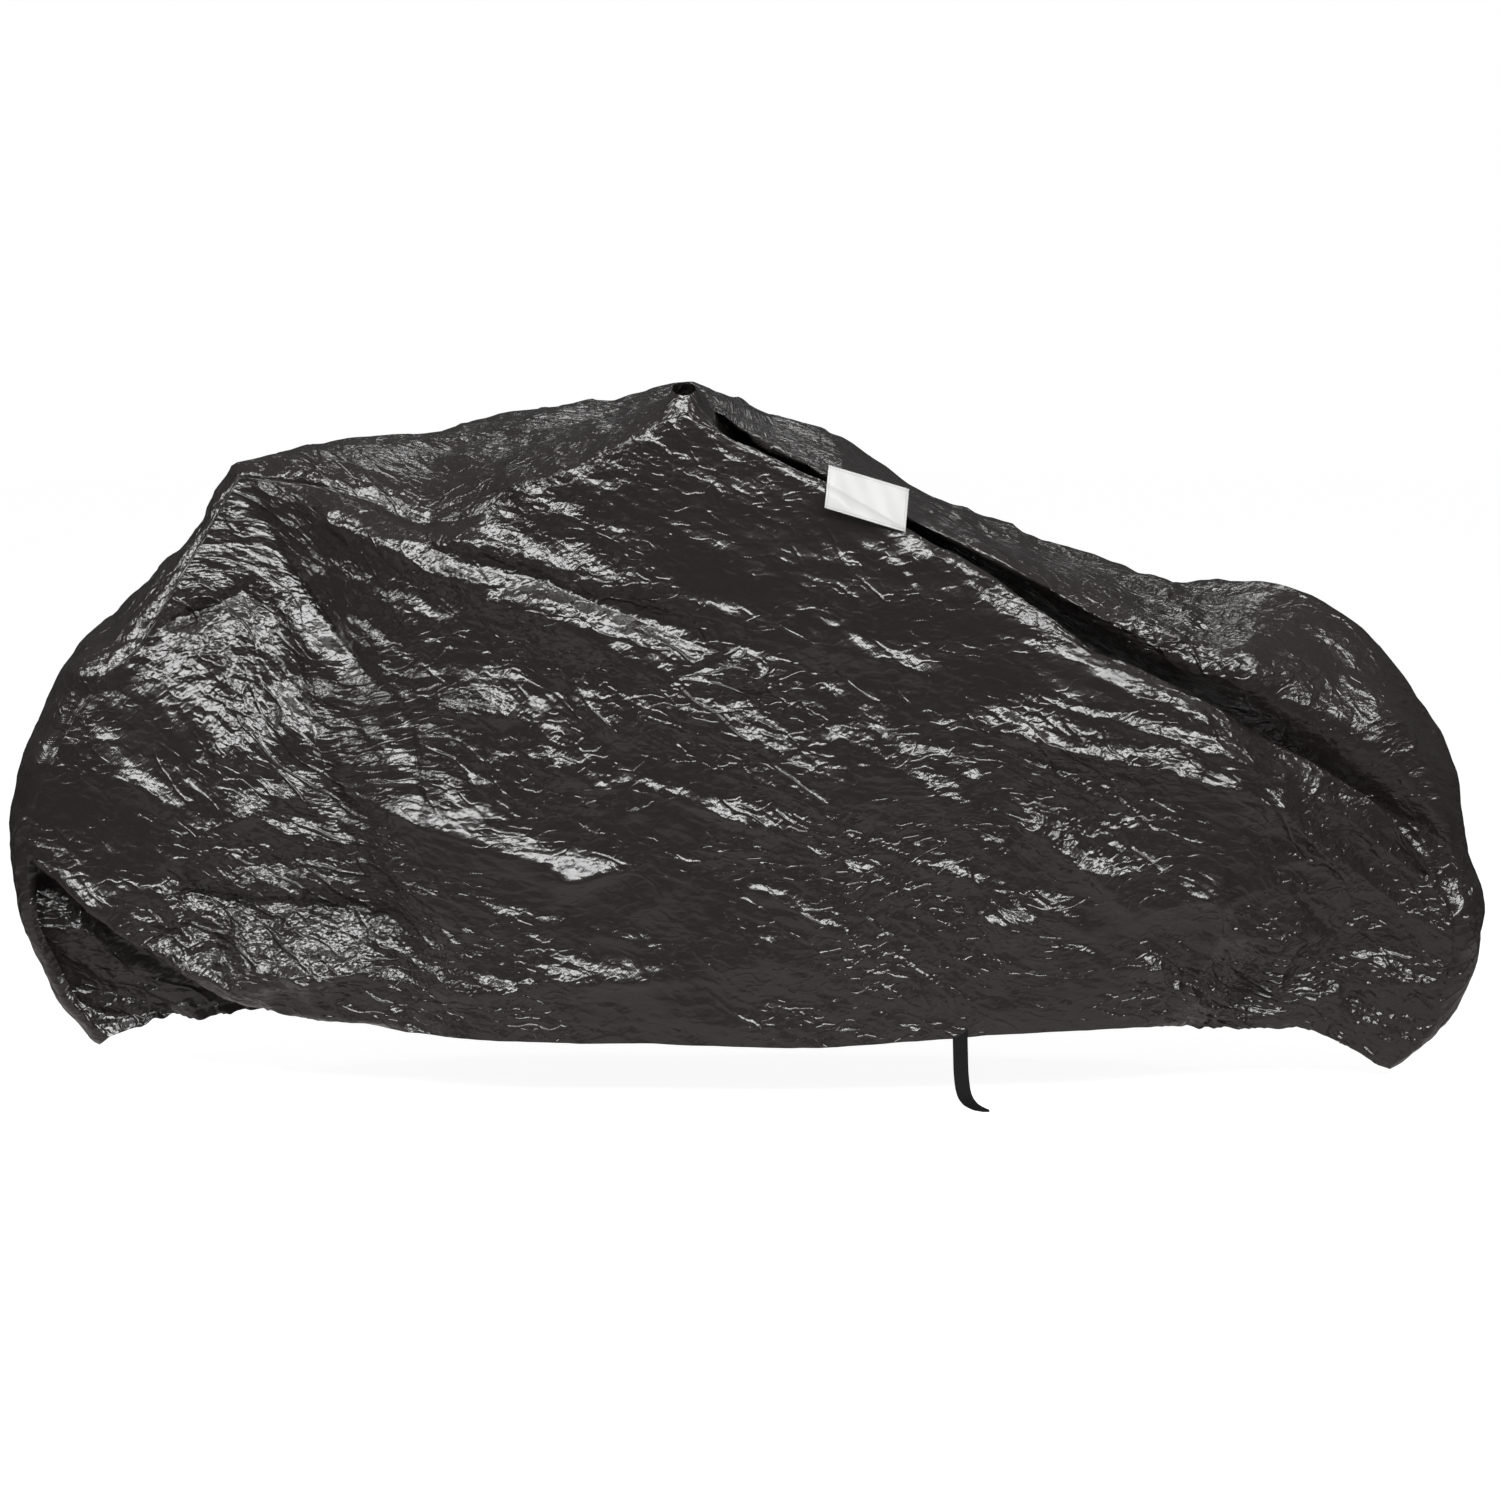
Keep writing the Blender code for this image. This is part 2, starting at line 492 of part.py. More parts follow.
def open_hole(points, row, column):
    """Moves the eight points round one onto a flat oval, and returns the four cells to leave out."""
    middle = points[row, column].copy()
    up = points[row + 1, column] - points[row - 1, column]
    up /= np.linalg.norm(up)
    for i in (-1, 0, 1):
        for j in (-1, 0, 1):
            if i or j:
                turn = math.atan2(i, j)
                right = 0.5 * HOLE_WIDTH * math.cos(turn)
                high = 0.5 * HOLE_HEIGHT * math.sin(turn)
                points[row + i, column + j] = middle + (right, 0, 0) + high * up
    return {(row + i, column + j) for i in (-1, 0) for j in (-1, 0)}


def make_cover(table, material):
    columns, rows = mesh_columns(table), mesh_rows()
    at, across = np.meshgrid(columns, rows)
    points = sheet_point(table, at, across)
    hole = open_hole(points, len(NEAR_SIDE_ROWS), int(np.argmin(np.abs(columns - PEAK_ROW))))
    near_rows = int(np.argmin(np.abs(rows - 2)))
    mesh = sheet_mesh("cover_sheet", points, hole, near_rows)
    return finish("cover_sheet", mesh, material, CLOTH_THICKNESS)


def shoulder_at(table, x):
    """How far out and how high the near shoulder is at these X, and the section there."""
    at = np.linspace(*LABEL_SECTIONS, 200)
    line = sheet_point(table, at, np.ones(at.shape))
    rib = near_rib(table, np.interp(x, line[:, 0], at))
    return np.interp(x, line[:, 0], -line[:, 1]), np.interp(x, line[:, 0], line[:, 2]), rib


def make_label(table, material):
    """The patch as a grid of its two edges, set in front of the shoulder and bent over it."""
    along_cells, up_cells = LABEL_CELLS
    length, height = np.meshgrid(
        np.linspace(0, LABEL_LENGTH, along_cells + 1), np.linspace(0, LABEL_HEIGHT, up_cells + 1)
    )
    x = LABEL_REAR_X + length * math.cos(LABEL_FALL) + height * math.sin(LABEL_SKEW)
    z = LABEL_REAR_Z - REST_HEIGHT - length * math.sin(LABEL_FALL) + height * math.cos(LABEL_SKEW)
    shoulder_out, shoulder_z, rib = shoulder_at(table, x)
    below = np.clip(shoulder_z - z, 0, None)
    above = np.clip(z - shoulder_z, 0, None)
    spread = edge_turn(rib, 0.0) - edge_turn(rib, below)
    wave = LABEL_WAVE * np.sin(length / LABEL_LENGTH * LABEL_WAVES * 2 * math.pi)
    out = shoulder_out + spread + LABEL_CLEARANCE + wave - LABEL_LEAN * above
    points = np.stack([x, -out, z], axis=-1)
    return finish("label_patch", sheet_mesh("label_patch", points), material, LABEL_THICKNESS)


def make_tie(material):
    """The free end of the webbing tie: a strip along its path, drawn in to a blunt tip."""
    path = np.array(TIE_PATH)
    last = len(path) - 1
    steps = np.linspace(0, last, TIE_CELLS * last + 1)
    line = np.stack([smooth_curve(steps, path[:, k]) for k in range(3)], axis=1)
    width = WEBBING_WIDTH * np.interp(steps, (0, last - TIE_TIP_ROWS, last), (1, 1, TIE_TIP))
    strip = [
        np.stack([line[:, 0] + side * width, -line[:, 1], line[:, 2] - REST_HEIGHT], axis=1)
        for side in (-0.5, 0.0, 0.5)
    ]
    mesh = sheet_mesh("tie_webbing", np.array(strip))
    return finish("tie_webbing", mesh, material, WEBBING_THICKNESS)


def smooth_curve(steps, values):
    """Values read at these steps from a smooth curve through them."""
    slope = np.gradient(values)
    row = np.clip(np.floor(steps).astype(int), 0, len(values) - 2)
    return hermite(steps - row, values[row], values[row + 1], slope[row], slope[row + 1])


def main():
    clear_scene()
    table = columns_of(SECTIONS, SECTION_COLUMNS)
    cloth = principled("coated_cloth", (0.0125, 0.0108, 0.0105), 0.30, coat=1.0)
    label = principled("label_cloth", (0.50, 0.50, 0.49), 0.50)
    webbing = principled("webbing", (0.007, 0.007, 0.0075), 0.70)
    cover = make_cover(table, cloth)
    parts = [make_label(table, label), make_tie(webbing)]
    for part in parts:
        part.parent = cover


main()
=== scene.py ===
import itertools
import math

import bpy
import numpy as np
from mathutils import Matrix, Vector


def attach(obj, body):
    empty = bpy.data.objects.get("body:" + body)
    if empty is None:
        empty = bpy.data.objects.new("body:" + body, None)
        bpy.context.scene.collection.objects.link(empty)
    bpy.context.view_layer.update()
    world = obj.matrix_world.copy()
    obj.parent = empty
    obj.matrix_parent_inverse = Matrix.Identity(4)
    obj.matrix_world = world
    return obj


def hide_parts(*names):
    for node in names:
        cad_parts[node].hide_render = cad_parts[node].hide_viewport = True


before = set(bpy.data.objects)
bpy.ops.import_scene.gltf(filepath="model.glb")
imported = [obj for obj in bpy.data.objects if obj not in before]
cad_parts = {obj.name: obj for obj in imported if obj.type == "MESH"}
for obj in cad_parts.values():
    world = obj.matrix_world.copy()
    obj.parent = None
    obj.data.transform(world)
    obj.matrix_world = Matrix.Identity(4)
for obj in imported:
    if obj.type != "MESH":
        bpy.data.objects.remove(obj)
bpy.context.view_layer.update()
groundZ = -1.143  # heights in the tables are above the ground, which is this far below the origin

studio = {
    "cameraPlace": (0.099, -6.0, 0.057),
    "cameraTarget": (0.099, 0.0, -0.5985),
    "lens": 87.3,
    "sensor": 36.0,
    "clipEnd": 200.0,
    "floorRadius": 40.0,
    "floorSides": 96,
    "floorColour": (0.30, 0.30, 0.30),
    "floorRoughness": 0.9,
    "floorSpecular": 0.1,
    "floorGlow": 0.92,
    "backGlow": 1.0,
    "evenLight": 0.20,  # how much of that lights the things in front of it
    "skyLow": 0.03,  # what the cloth mirrors level with it
    "skyHigh": 0.09,  # and straight above it
    # the floor as the cloth mirrors it: lit near the cover, dark further off
    "cardColour": (1.0, 0.93, 0.91),
    "cardNear": 0.34,
    "cardFar": 0.02,
    "cardLit": 0.05,  # how far in front of and behind the centre plane it's fully lit
    "cardDark": 1.5,  # and from where on it's dark
    "cardStretch": 2.2,  # both are this much further off to the sides
}
# name, place, target, width, height, watts
softBoxes = (
    ("keyBox", (-0.15, -2.4, 1.75), (-0.05, 0.0, -0.5), 4.7, 1.5, 160),
    ("leftBox", (-3.2, -1.6, 1.0), (-0.6, 0.0, -0.6), 0.8, 1.5, 20),
    ("rightBox", (2.9, -2.3, 1.5), (0.4, -0.3, -0.4), 1.8, 1.6, 52),
    ("backBox", (0.4, 3.0, 3.0), (0.0, 0.0, -0.5), 3.0, 0.8, 20),
)


# The photo's view
def makeCamera():
    data = bpy.data.cameras.new("camera")
    data.lens = studio["lens"]
    data.sensor_width = studio["sensor"]
    data.clip_end = studio["clipEnd"]
    camera = bpy.data.objects.new("camera", data)
    camera.location = studio["cameraPlace"]
    look = Vector(studio["cameraTarget"]) - Vector(studio["cameraPlace"])
    camera.rotation_euler = look.to_track_quat("-Z", "Y").to_euler()
    bpy.context.scene.collection.objects.link(camera)
    bpy.context.scene.camera = camera
    bpy.context.scene.view_settings.view_transform = "Standard"


# Small helpers for node trees
def setInputs(node, values):
    for name, value in values.items():
        node.inputs[name].default_value = value


def addNode(tree, kind, settings=(), inputs=()):
    node = tree.nodes.new(kind)
    for name, value in dict(settings).items():
        setattr(node, name, value)
    for name, value in dict(inputs).items():
        if isinstance(value, bpy.types.NodeSocket):
            tree.links.new(value, node.inputs[name])
        else:
            node.inputs[name].default_value = value
    return node


def maths(tree, operation, first, second=0.0):
    return addNode(tree, "ShaderNodeMath", {"operation": operation}, {0: first, 1: second}).outputs[0]


def vectorMaths(tree, operation, inputs, output=0):
    node = addNode(tree, "ShaderNodeVectorMath", {"operation": operation}, inputs)
    return node.outputs[output]


def mapRange(tree, value, low, high, toLow, toHigh, kind="LINEAR"):
    limits = {"From Min": low, "From Max": high, "To Min": toLow, "To Max": toHigh}
    settings = {"interpolation_type": kind}
    return addNode(tree, "ShaderNodeMapRange", settings, {"Value": value, **limits}).outputs["Result"]


def newMaterial(name):
    material = bpy.data.materials.new(name)
    material.use_nodes = True
    return material, material.node_tree, material.node_tree.nodes["Principled BSDF"]


# Turns a height in metres into the surface normal of this shader
def addBump(tree, shader, height, inputs=(), sockets=("Normal",)):
    values = {"Height": height, "Distance": 1.0, "Strength": 1.0, **dict(inputs)}
    bump = addNode(tree, "ShaderNodeBump", {}, values).outputs[0]
    for socket in sockets:
        tree.links.new(bump, shader.inputs[socket])


# A flat round sheet on the floor, as one ring of thin triangles
def makeDisc(name, radius, height):
    turn = np.linspace(0, 2 * math.pi, studio["floorSides"] + 1)[:-1]
    rim = radius * np.stack([np.cos(turn), np.sin(turn), 0 * turn], axis=1)
    points = np.concatenate([np.zeros((1, 3)), rim]) + (0, 0, height)
    first = np.arange(len(turn))
    faces = np.stack([0 * first, 1 + first, 1 + (first + 1) % len(turn)], axis=1)
    mesh = bpy.data.meshes.new(name)
    mesh.from_pydata(points.tolist(), [], faces.tolist())
    mesh.materials.append(newMaterial(name)[0])
    disc = bpy.data.objects.new(name, mesh)
    bpy.context.scene.collection.objects.link(disc)
    return disc


# The floor that the camera sees
def makeFloor():
    floor = makeDisc("floor", studio["floorRadius"], groundZ)
    setInputs(floor.data.materials[0].node_tree.nodes["Principled BSDF"], {
        "Base Color": (*studio["floorColour"], 1),
        "Roughness": studio["floorRoughness"],
        "Specular IOR Level": studio["floorSpecular"],
        "Emission Color": (1, 1, 1, 1),
        "Emission Strength": studio["floorGlow"],
    })
    floor.visible_glossy = False


# What the cloth mirrors instead of the floor
def makeMirroredFloor():
    card = makeDisc("mirroredFloor", studio["floorRadius"], groundZ)
    card.visible_camera = card.visible_diffuse = card.visible_shadow = False
    tree = card.data.materials[0].node_tree
    tree.nodes.clear()
    place = addNode(tree, "ShaderNodeTexCoord").outputs["Object"]
    squeezed = vectorMaths(tree, "MULTIPLY", {0: place, 1: (1 / studio["cardStretch"], 1.0, 0.0)})
    away = vectorMaths(tree, "LENGTH", {0: squeezed}, "Value")
    glow = mapRange(
        tree, away, studio["cardLit"], studio["cardDark"], studio["cardNear"], studio["cardFar"],
        "SMOOTHERSTEP",
    )
    colour = (*studio["cardColour"], 1)
    shine = addNode(tree, "ShaderNodeEmission", {}, {"Color": colour, "Strength": glow}).outputs[0]
    addNode(tree, "ShaderNodeOutputMaterial", {}, {"Surface": shine})


# The lamps: a large one high in front of the cover, one on each side and one behind it
def makeSoftBoxes():
    for name, place, target, width, height, watts in softBoxes:
        data = bpy.data.lights.new(name, "AREA")
        data.shape = "RECTANGLE"
        data.size = width
        data.size_y = height
        data.energy = watts
        lamp = bpy.data.objects.new(name, data)
        lamp.location = place
        lamp.rotation_euler = (Vector(target) - Vector(place)).to_track_quat("-Z", "Y").to_euler()
        bpy.context.scene.collection.objects.link(lamp)
        lamp.visible_camera = False


# Mirrored in the cloth, the studio is dim along the horizon and brighter overhead. The camera sees
# an even white backdrop, and a share of that lights the things in front of it
def makeBackdrop():
    world = bpy.data.worlds.new("studioWorld")
    bpy.context.scene.world = world
    world.use_nodes = True
    tree = world.node_tree
    tree.nodes.clear()
    way = addNode(tree, "ShaderNodeTexCoord").outputs["Generated"]
    up = addNode(tree, "ShaderNodeSeparateXYZ", {}, {0: way}).outputs["Z"]
    seen = addNode(tree, "ShaderNodeLightPath").outputs
    back, sky = (
        addNode(tree, "ShaderNodeBackground", {}, {
            "Color": (1, 1, 1, 1), "Strength": mapRange(tree, value, 0, 1, studio[low], studio[high]),
        }).outputs[0]
        for value, low, high in (
            (seen["Is Diffuse Ray"], "backGlow", "evenLight"), (up, "skyLow", "skyHigh"),
        )
    )
    either = addNode(tree, "ShaderNodeMixShader", {}, {0: seen["Is Glossy Ray"], 1: back, 2: sky})
    addNode(tree, "ShaderNodeOutputWorld", {}, {"Surface": either.outputs[0]})


makeCamera()
makeFloor()
makeMirroredFloor()
makeSoftBoxes()
makeBackdrop()
print("camera, floor and light made")


# One row for each section across the cover, from the hem behind the rear end to the hem in front
# of the front end. Out is the distance from the centre plane, belly is Out halfway down the side,
# sag is how deep the top hangs between shoulder and crown, round is 1 for a rounded top, and
# corner is 1 where the outline breaks.
sectionColumns = (
    "crownX", "crownY", "crownZ", "shoulderX", "shoulderOut", "shoulderZ", "belly",
    "hemX", "hemOut", "hemZ", "sag", "round", "corner",
)
sections = (
    (-0.982, 0.00, 0.058, -0.967, 0.030, 0.070, 0.036, -0.920, 0.036, 0.090, 0.00, 1.0, 1),
    (-1.058, 0.00, 0.126, -1.026, 0.050, 0.132, 0.055, -0.878, 0.043, 0.100, 0.00, 1.0, 0),
    (-1.106, 0.00, 0.230, -1.070, 0.065, 0.232, 0.072, -0.835, 0.062, 0.098, 0.00, 1.0, 0),
    (-1.133, 0.00, 0.385, -1.085, 0.090, 0.385, 0.115, -0.765, 0.090, 0.108, 0.00, 1.0, 0),
    (-1.075, 0.00, 0.610, -1.015, 0.122, 0.580, 0.138, -0.660, 0.116, 0.112, 0.00, 1.0, 0),
    (-1.015, 0.00, 0.718, -0.955, 0.127, 0.672, 0.143, -0.610, 0.130, 0.108, 0.00, 1.0, 0),
    (-0.948, 0.00, 0.762, -0.895, 0.122, 0.722, 0.142, -0.560, 0.145, 0.105, 0.00, 1.0, 1),
    (-0.747, 0.00, 1.018, -0.735, 0.050, 1.002, 0.119, -0.450, 0.172, 0.101, 0.00, 0.8, 1),
    (-0.570, 0.10, 1.052, -0.570, 0.115, 0.978, 0.190, -0.360, 0.205, 0.098, 0.00, 0.9, 0),
    (-0.400, 0.17, 1.075, -0.405, 0.185, 0.925, 0.225, -0.270, 0.215, 0.096, 0.00, 0.9, 0),
    (-0.270, 0.22, 1.100, -0.277, 0.250, 0.975, 0.240, -0.175, 0.220, 0.092, 0.00, 0.9, 0),
    (-0.110, 0.29, 1.128, -0.115, 0.308, 1.055, 0.262, -0.075, 0.220, 0.092, 0.00, 0.6, 0),
    (0.003, 0.33, 1.150, -0.004, 0.340, 1.104, 0.272, 0.000, 0.222, 0.090, -0.038, 0.0, 1),
    (0.108, 0.31, 1.111, 0.098, 0.335, 1.062, 0.272, 0.100, 0.222, 0.087, 0.00, 0.0, 0),
    (0.272, 0.28, 1.037, 0.232, 0.323, 0.990, 0.268, 0.225, 0.222, 0.086, 0.00, 0.0, 0),
    (0.408, 0.25, 0.955, 0.350, 0.313, 0.922, 0.262, 0.337, 0.220, 0.092, 0.00, 0.0, 0),
    (0.535, 0.20, 0.900, 0.475, 0.300, 0.853, 0.254, 0.450, 0.215, 0.099, 0.00, 0.0, 0),
    (0.700, 0.14, 0.856, 0.640, 0.284, 0.751, 0.245, 0.630, 0.192, 0.108, 0.00, 0.1, 0),
    (0.860, 0.07, 0.817, 0.780, 0.262, 0.668, 0.232, 0.760, 0.160, 0.107, 0.00, 0.2, 0),
    (0.945, 0.03, 0.824, 0.860, 0.252, 0.624, 0.210, 0.850, 0.115, 0.094, 0.00, 0.1, 0),
    (1.030, 0.00, 0.803, 0.930, 0.235, 0.585, 0.170, 0.930, 0.085, 0.090, 0.00, 0.15, 0),
    (1.180, 0.00, 0.671, 1.040, 0.190, 0.520, 0.120, 1.010, 0.068, 0.090, 0.00, 0.35, 0),
    (1.272, 0.00, 0.515, 1.145, 0.130, 0.445, 0.082, 1.052, 0.055, 0.074, 0.00, 0.7, 0),
    (1.296, 0.00, 0.396, 1.230, 0.080, 0.338, 0.062, 1.080, 0.046, 0.060, 0.00, 1.0, 0),
    (1.313, 0.00, 0.250, 1.262, 0.062, 0.240, 0.052, 1.104, 0.040, 0.046, 0.00, 1.0, 0),
    (1.268, 0.00, 0.084, 1.226, 0.042, 0.088, 0.038, 1.126, 0.034, 0.034, 0.00, 1.0, 0),
    (1.170, 0.00, 0.011, 1.162, 0.022, 0.014, 0.024, 1.142, 0.028, 0.021, 0.00, 1.0, 1),
)
coverShape = {
    "columns": 440,
    "rows": (150, 38, 8, 30),  # on the near side, the near and far half of the top, the far side
    "peakRow": 12,  # the section through the peak
    "farShoulderRise": 0.35,  # how much of the way to the crown the far shoulder lies higher
    "farShoulderOut": 0.020,  # and how far outside the crown it lies at least
    "farSag": 0.2,
    "standShare": 0.02,  # where sag is below 0 the top stands up over this share of it
    # the folds are lower at the hem and where the cover is narrow, and fade out at the shoulders
    "calmHem": 8,
    "calmOut": 0.12,
    "calmLeast": 0.2,
    "calmShoulders": ((1, 25), (3, 8)),
    "tuckFade": (1.1, 1.3),
    # towards its shoulder a side turns in by two slopes, each from some way below the shoulder on:
    # how much of that there is at these sections, and how far below the shoulder each begins
    "edgeSlopes": (0.50, 0.90),
    "edgeSoftness": 0.005,
    "edgeRows": (7.2, 8.0, 11.7, 12.0, 12.9, 14.0, 15.0, 16.0, 17.0, 18.0, 19.0, 20.5, 22.5),
    "edgeAmount": (0.0, 0.3, 0.3, 0.1, 1.0, 1.0, 1.0, 1.0, 1.0, 1.0, 1.0, 0.8, 0.0),
    "edgeFirst": (0.02, 0.02, 0.02, 0.015, 0.013, 0.016, 0.032, 0.038, 0.038, 0.03, 0.031, 0.056, 0.06),
    "edgeSecond": (0.01, 0.01, 0.01, 0.008, 0.006, 0.006, 0.005, 0.006, 0.014, 0.022, 0.025, 0.048, 0.05),
    "farEdge": 0.6,  # share of that on the far side
    # the valley behind the near shoulder: how much of it there is at these sections, and how high
    # its dark far wall stands above the shoulder
    "valleyRows": (12.2, 13.2, 15.0, 16.0, 17.0, 18.0, 19.0, 21.0, 22.0, 23.5),
    "valleyShare": (0.0, 1.0, 1.0, 1.0, 1.0, 1.0, 1.0, 1.0, 0.7, 0.0),
    "valleyGap": (0.004, 0.005, 0.008, 0.018, 0.030, 0.048, 0.066, 0.070, 0.050, 0.0),
    "valleyDepth": 0.055,
    # its profile: shares of the way to the crown, and there the shares of the width and, up to the
    # far wall, of the depth
    "valleyKnots": (0.0, 0.14, 0.30, 0.46, 1.0),
    "valleyIn": (0.0, 0.30, 0.50, 0.12, 1.0),
    "valleyDown": (0.0, 1.0, 0.45),
    "sagShape": 6.75,  # makes the deepest point of the sag's curve 1
    "slack": 0.006,
    "slackWaves": ((10.0, 14.0, 0.4), (22.0, -12.0, 1.9), (-16.0, 26.0, 3.1)),  # in X, in Z, phase
    "flapEdge": ((-1.16, 0.392), (-1.03, 0.340), (-0.90, 0.232), (-0.76, 0.140), (-0.61, 0.108)),
    "flapDepth": 0.040,
    "flapSoftness": 0.005,
    "flapGap": 0.050,  # how much deeper the cloth lies right behind the flap's edge
    "flapGapReach": 0.045,
    "flapClear": 0.012,  # least distance from the centre plane
    "flapFront": (-0.46, 0.1),  # where it ends in front, and how softly
    "flapOut": (0.03, 0.02),  # where it ends at the narrow end, and how softly
}


# The cubic that rises smoothly from 0 at low to 1 at high
def smoothStep(low, high, value):
    t = np.clip((value - low) / (high - low), 0, 1)
    return t * t * (3 - 2 * t)


# The cubic from start to end that leaves and arrives with the given slopes
def hermite(t, start, end, leaving, arriving):
    return (
        (1 + 2 * t) * (1 - t) ** 2 * start + t * (1 - t) ** 2 * leaving
        + t * t * (3 - 2 * t) * end + t * t * (t - 1) * arriving
    )


# The columns of the table by name
def sectionTable():
    rows = np.array(sections)
    return {name: rows[:, i] for i, name in enumerate(sectionColumns)}


# Length of cloth between neighbouring sections: the mean of what crown and hem measure
def sectionSpacing(table):
    steps = [
        np.hypot(np.diff(table[edge + "X"]), np.diff(table[edge + "Z"])) for edge in ("crown", "hem")
    ]
    return 0.5 * (steps[0] + steps[1])


# A column of the table read between its rows by cubic curves, which break at the corner rows
def alongSections(table, name, at):
    values, length, corner = table[name], sectionSpacing(table), table["corner"]
    slope = np.diff(values) / length
    before, after = np.concatenate([slope[:1], slope]), np.concatenate([slope, slope[-1:]])
    shorter, longer = np.concatenate([length[:1], length]), np.concatenate([length, length[-1:]])
    smooth = (before * longer + after * shorter) / (shorter + longer)
    arriving = smooth * (1 - corner) + before * corner
    leaving = smooth * (1 - corner) + after * corner
    row = np.clip(np.floor(at).astype(int), 0, len(values) - 2)
    return hermite(
        at - row, values[row], values[row + 1],
        length[row] * leaving[row], length[row] * arriving[row + 1],
    )


# The sections there, read from the tables, as dictionaries for the near half and the far half
def ribsOf(table, at):
    near = {name: alongSections(table, name, at) for name in sectionColumns if name != "corner"}
    near["round"] = np.clip(near["round"], 0, 1)
    for name, rows, values in (
        ("edge", "edgeRows", "edgeAmount"), ("first", "edgeRows", "edgeFirst"),
        ("second", "edgeRows", "edgeSecond"), ("valley", "valleyRows", "valleyShare"),
        ("gap", "valleyRows", "valleyGap"),
    ):
        near[name] = np.interp(at, coverShape[rows], coverShape[values])
    far = dict(near)
    far["edge"] = coverShape["farEdge"] * near["edge"]
    far["valley"] = 0 * near["valley"]
    far["shoulderOut"] = np.maximum(near["shoulderOut"], near["crownY"] + coverShape["farShoulderOut"])
    drop = near["crownZ"] - near["shoulderZ"]
    far["shoulderZ"] = near["shoulderZ"] + coverShape["farShoulderRise"] * drop
    far["crownY"] = -near["crownY"]
    far["sag"] = coverShape["farSag"] * near["sag"]
    return near, far


# How far a side is turned in at this depth below its shoulder: the sum of softened ramps
def edgeTurn(rib, depth):
    soft = coverShape["edgeSoftness"]
    turn = 0.0
    for start, slope in zip(("first", "second"), coverShape["edgeSlopes"]):
        over = rib[start] - depth
        turn = turn + slope * 0.5 * (over + np.sqrt(over ** 2 + soft ** 2))
    return rib["edge"] * turn


# A side: straight from shoulder to hem seen from the side, and a parabola through shoulder, belly
# and hem seen from the front, which turns in just below the shoulder
def sidePoints(rib, share):
    x = rib["shoulderX"] + share * (rib["hemX"] - rib["shoulderX"])
    z = rib["shoulderZ"] + share * (rib["hemZ"] - rib["shoulderZ"])
    out = (
        rib["shoulderOut"] * (1 - share) * (1 - 2 * share)
        + 4 * rib["belly"] * share * (1 - share)
        + rib["hemOut"] * share * (2 * share - 1)
    )
    return x, out - edgeTurn(rib, rib["shoulderZ"] - z), z


# The top: from shoulder to crown on a straight line that sags, blended with a quarter ellipse
def topPoints(rib, share):
    bend = rib["round"]
    across = (1 - bend) * (1 - share) + bend * np.cos(share * math.pi / 2)
    down = (1 - bend) * (1 - share) + bend * (1 - np.sin(share * math.pi / 2))
    deep = coverShape["sagShape"] * share * (1 - share) ** 2
    steep = (1 - share) * (1 - np.exp(-share / coverShape["standShare"]))
    hang = np.where(rib["sag"] > 0, deep, steep)
    x = rib["crownX"] + (rib["shoulderX"] - rib["crownX"]) * down
    z = rib["crownZ"] + (rib["shoulderZ"] - rib["crownZ"]) * down - rib["sag"] * hang
    edge = rib["shoulderOut"] - edgeTurn(rib, 0.0)
    out = -rib["crownY"] + (edge + rib["crownY"]) * across
    valleyX, valleyOut, valleyZ = valleyPoints(rib, share, edge)
    much = rib["valley"]
    return x + much * (valleyX - x), out + much * (valleyOut - out), z + much * (valleyZ - z)


# The valley behind the shoulder: a smooth curve from the shoulder down to its floor, back under
# the next fold, up to the edge of that fold and on to the crown
def valleyPoints(rib, share, edge):
    shape = coverShape
    step = np.interp(share, shape["valleyKnots"], np.arange(len(shape["valleyKnots"])))
    width = edge + rib["crownY"]
    outs = [edge - part * width for part in shape["valleyIn"]]
    heights = [rib["shoulderZ"] - down * shape["valleyDepth"] for down in shape["valleyDown"]]
    heights += [rib["shoulderZ"] + rib["gap"], rib["crownZ"]]
    back = np.clip((share - shape["valleyKnots"][1]) / (1 - shape["valleyKnots"][1]), 0, 1)
    x = rib["shoulderX"] + back * (rib["crownX"] - rib["shoulderX"])
    return x, splineThrough(step, outs), splineThrough(step, heights)


# A smooth curve through values that stand one step apart. Each may be a whole array
def splineThrough(step, values):
    values = np.stack(np.broadcast_arrays(*values, step)[:-1])
    slope = np.gradient(values, axis=0)
    row = np.clip(np.floor(step).astype(int), 0, len(values) - 2)
    start, end, leaving, arriving = (
        np.take_along_axis(grid, (row + more)[None], axis=0)[0]
        for grid in (values, slope) for more in (0, 1)
    )
    return hermite(step - row, start, end, leaving, arriving)


# The sheet before its folds. Across is 0 at the near hem, 1 at the near shoulder, 2 at the crown,
# 3 at the far shoulder and 4 at the far hem
def sheetPoints(at, across):
    near, far = ribsOf(sectionTable(), at)
    quarters = (
        (across < 1, -1, sidePoints(near, 1 - across)),
        ((across >= 1) & (across < 2), -1, topPoints(near, across - 1)),
        ((across >= 2) & (across < 3), 1, topPoints(far, 3 - across)),
        (across >= 3, 1, sidePoints(far, across - 3)),
    )
    points = np.zeros(at.shape + (3,))
    for chosen, facing, (x, out, z) in quarters:
        points[chosen] = np.stack([x, facing * out, z + groundZ], axis=-1)[chosen]
    return points


# Outward unit normals of a grid of points: the cross product of its two directions
def gridNormals(points):
    normal = np.cross(np.gradient(points, axis=1), np.gradient(points, axis=0))
    return normal / np.maximum(np.linalg.norm(normal, axis=-1, keepdims=True), 1e-12)


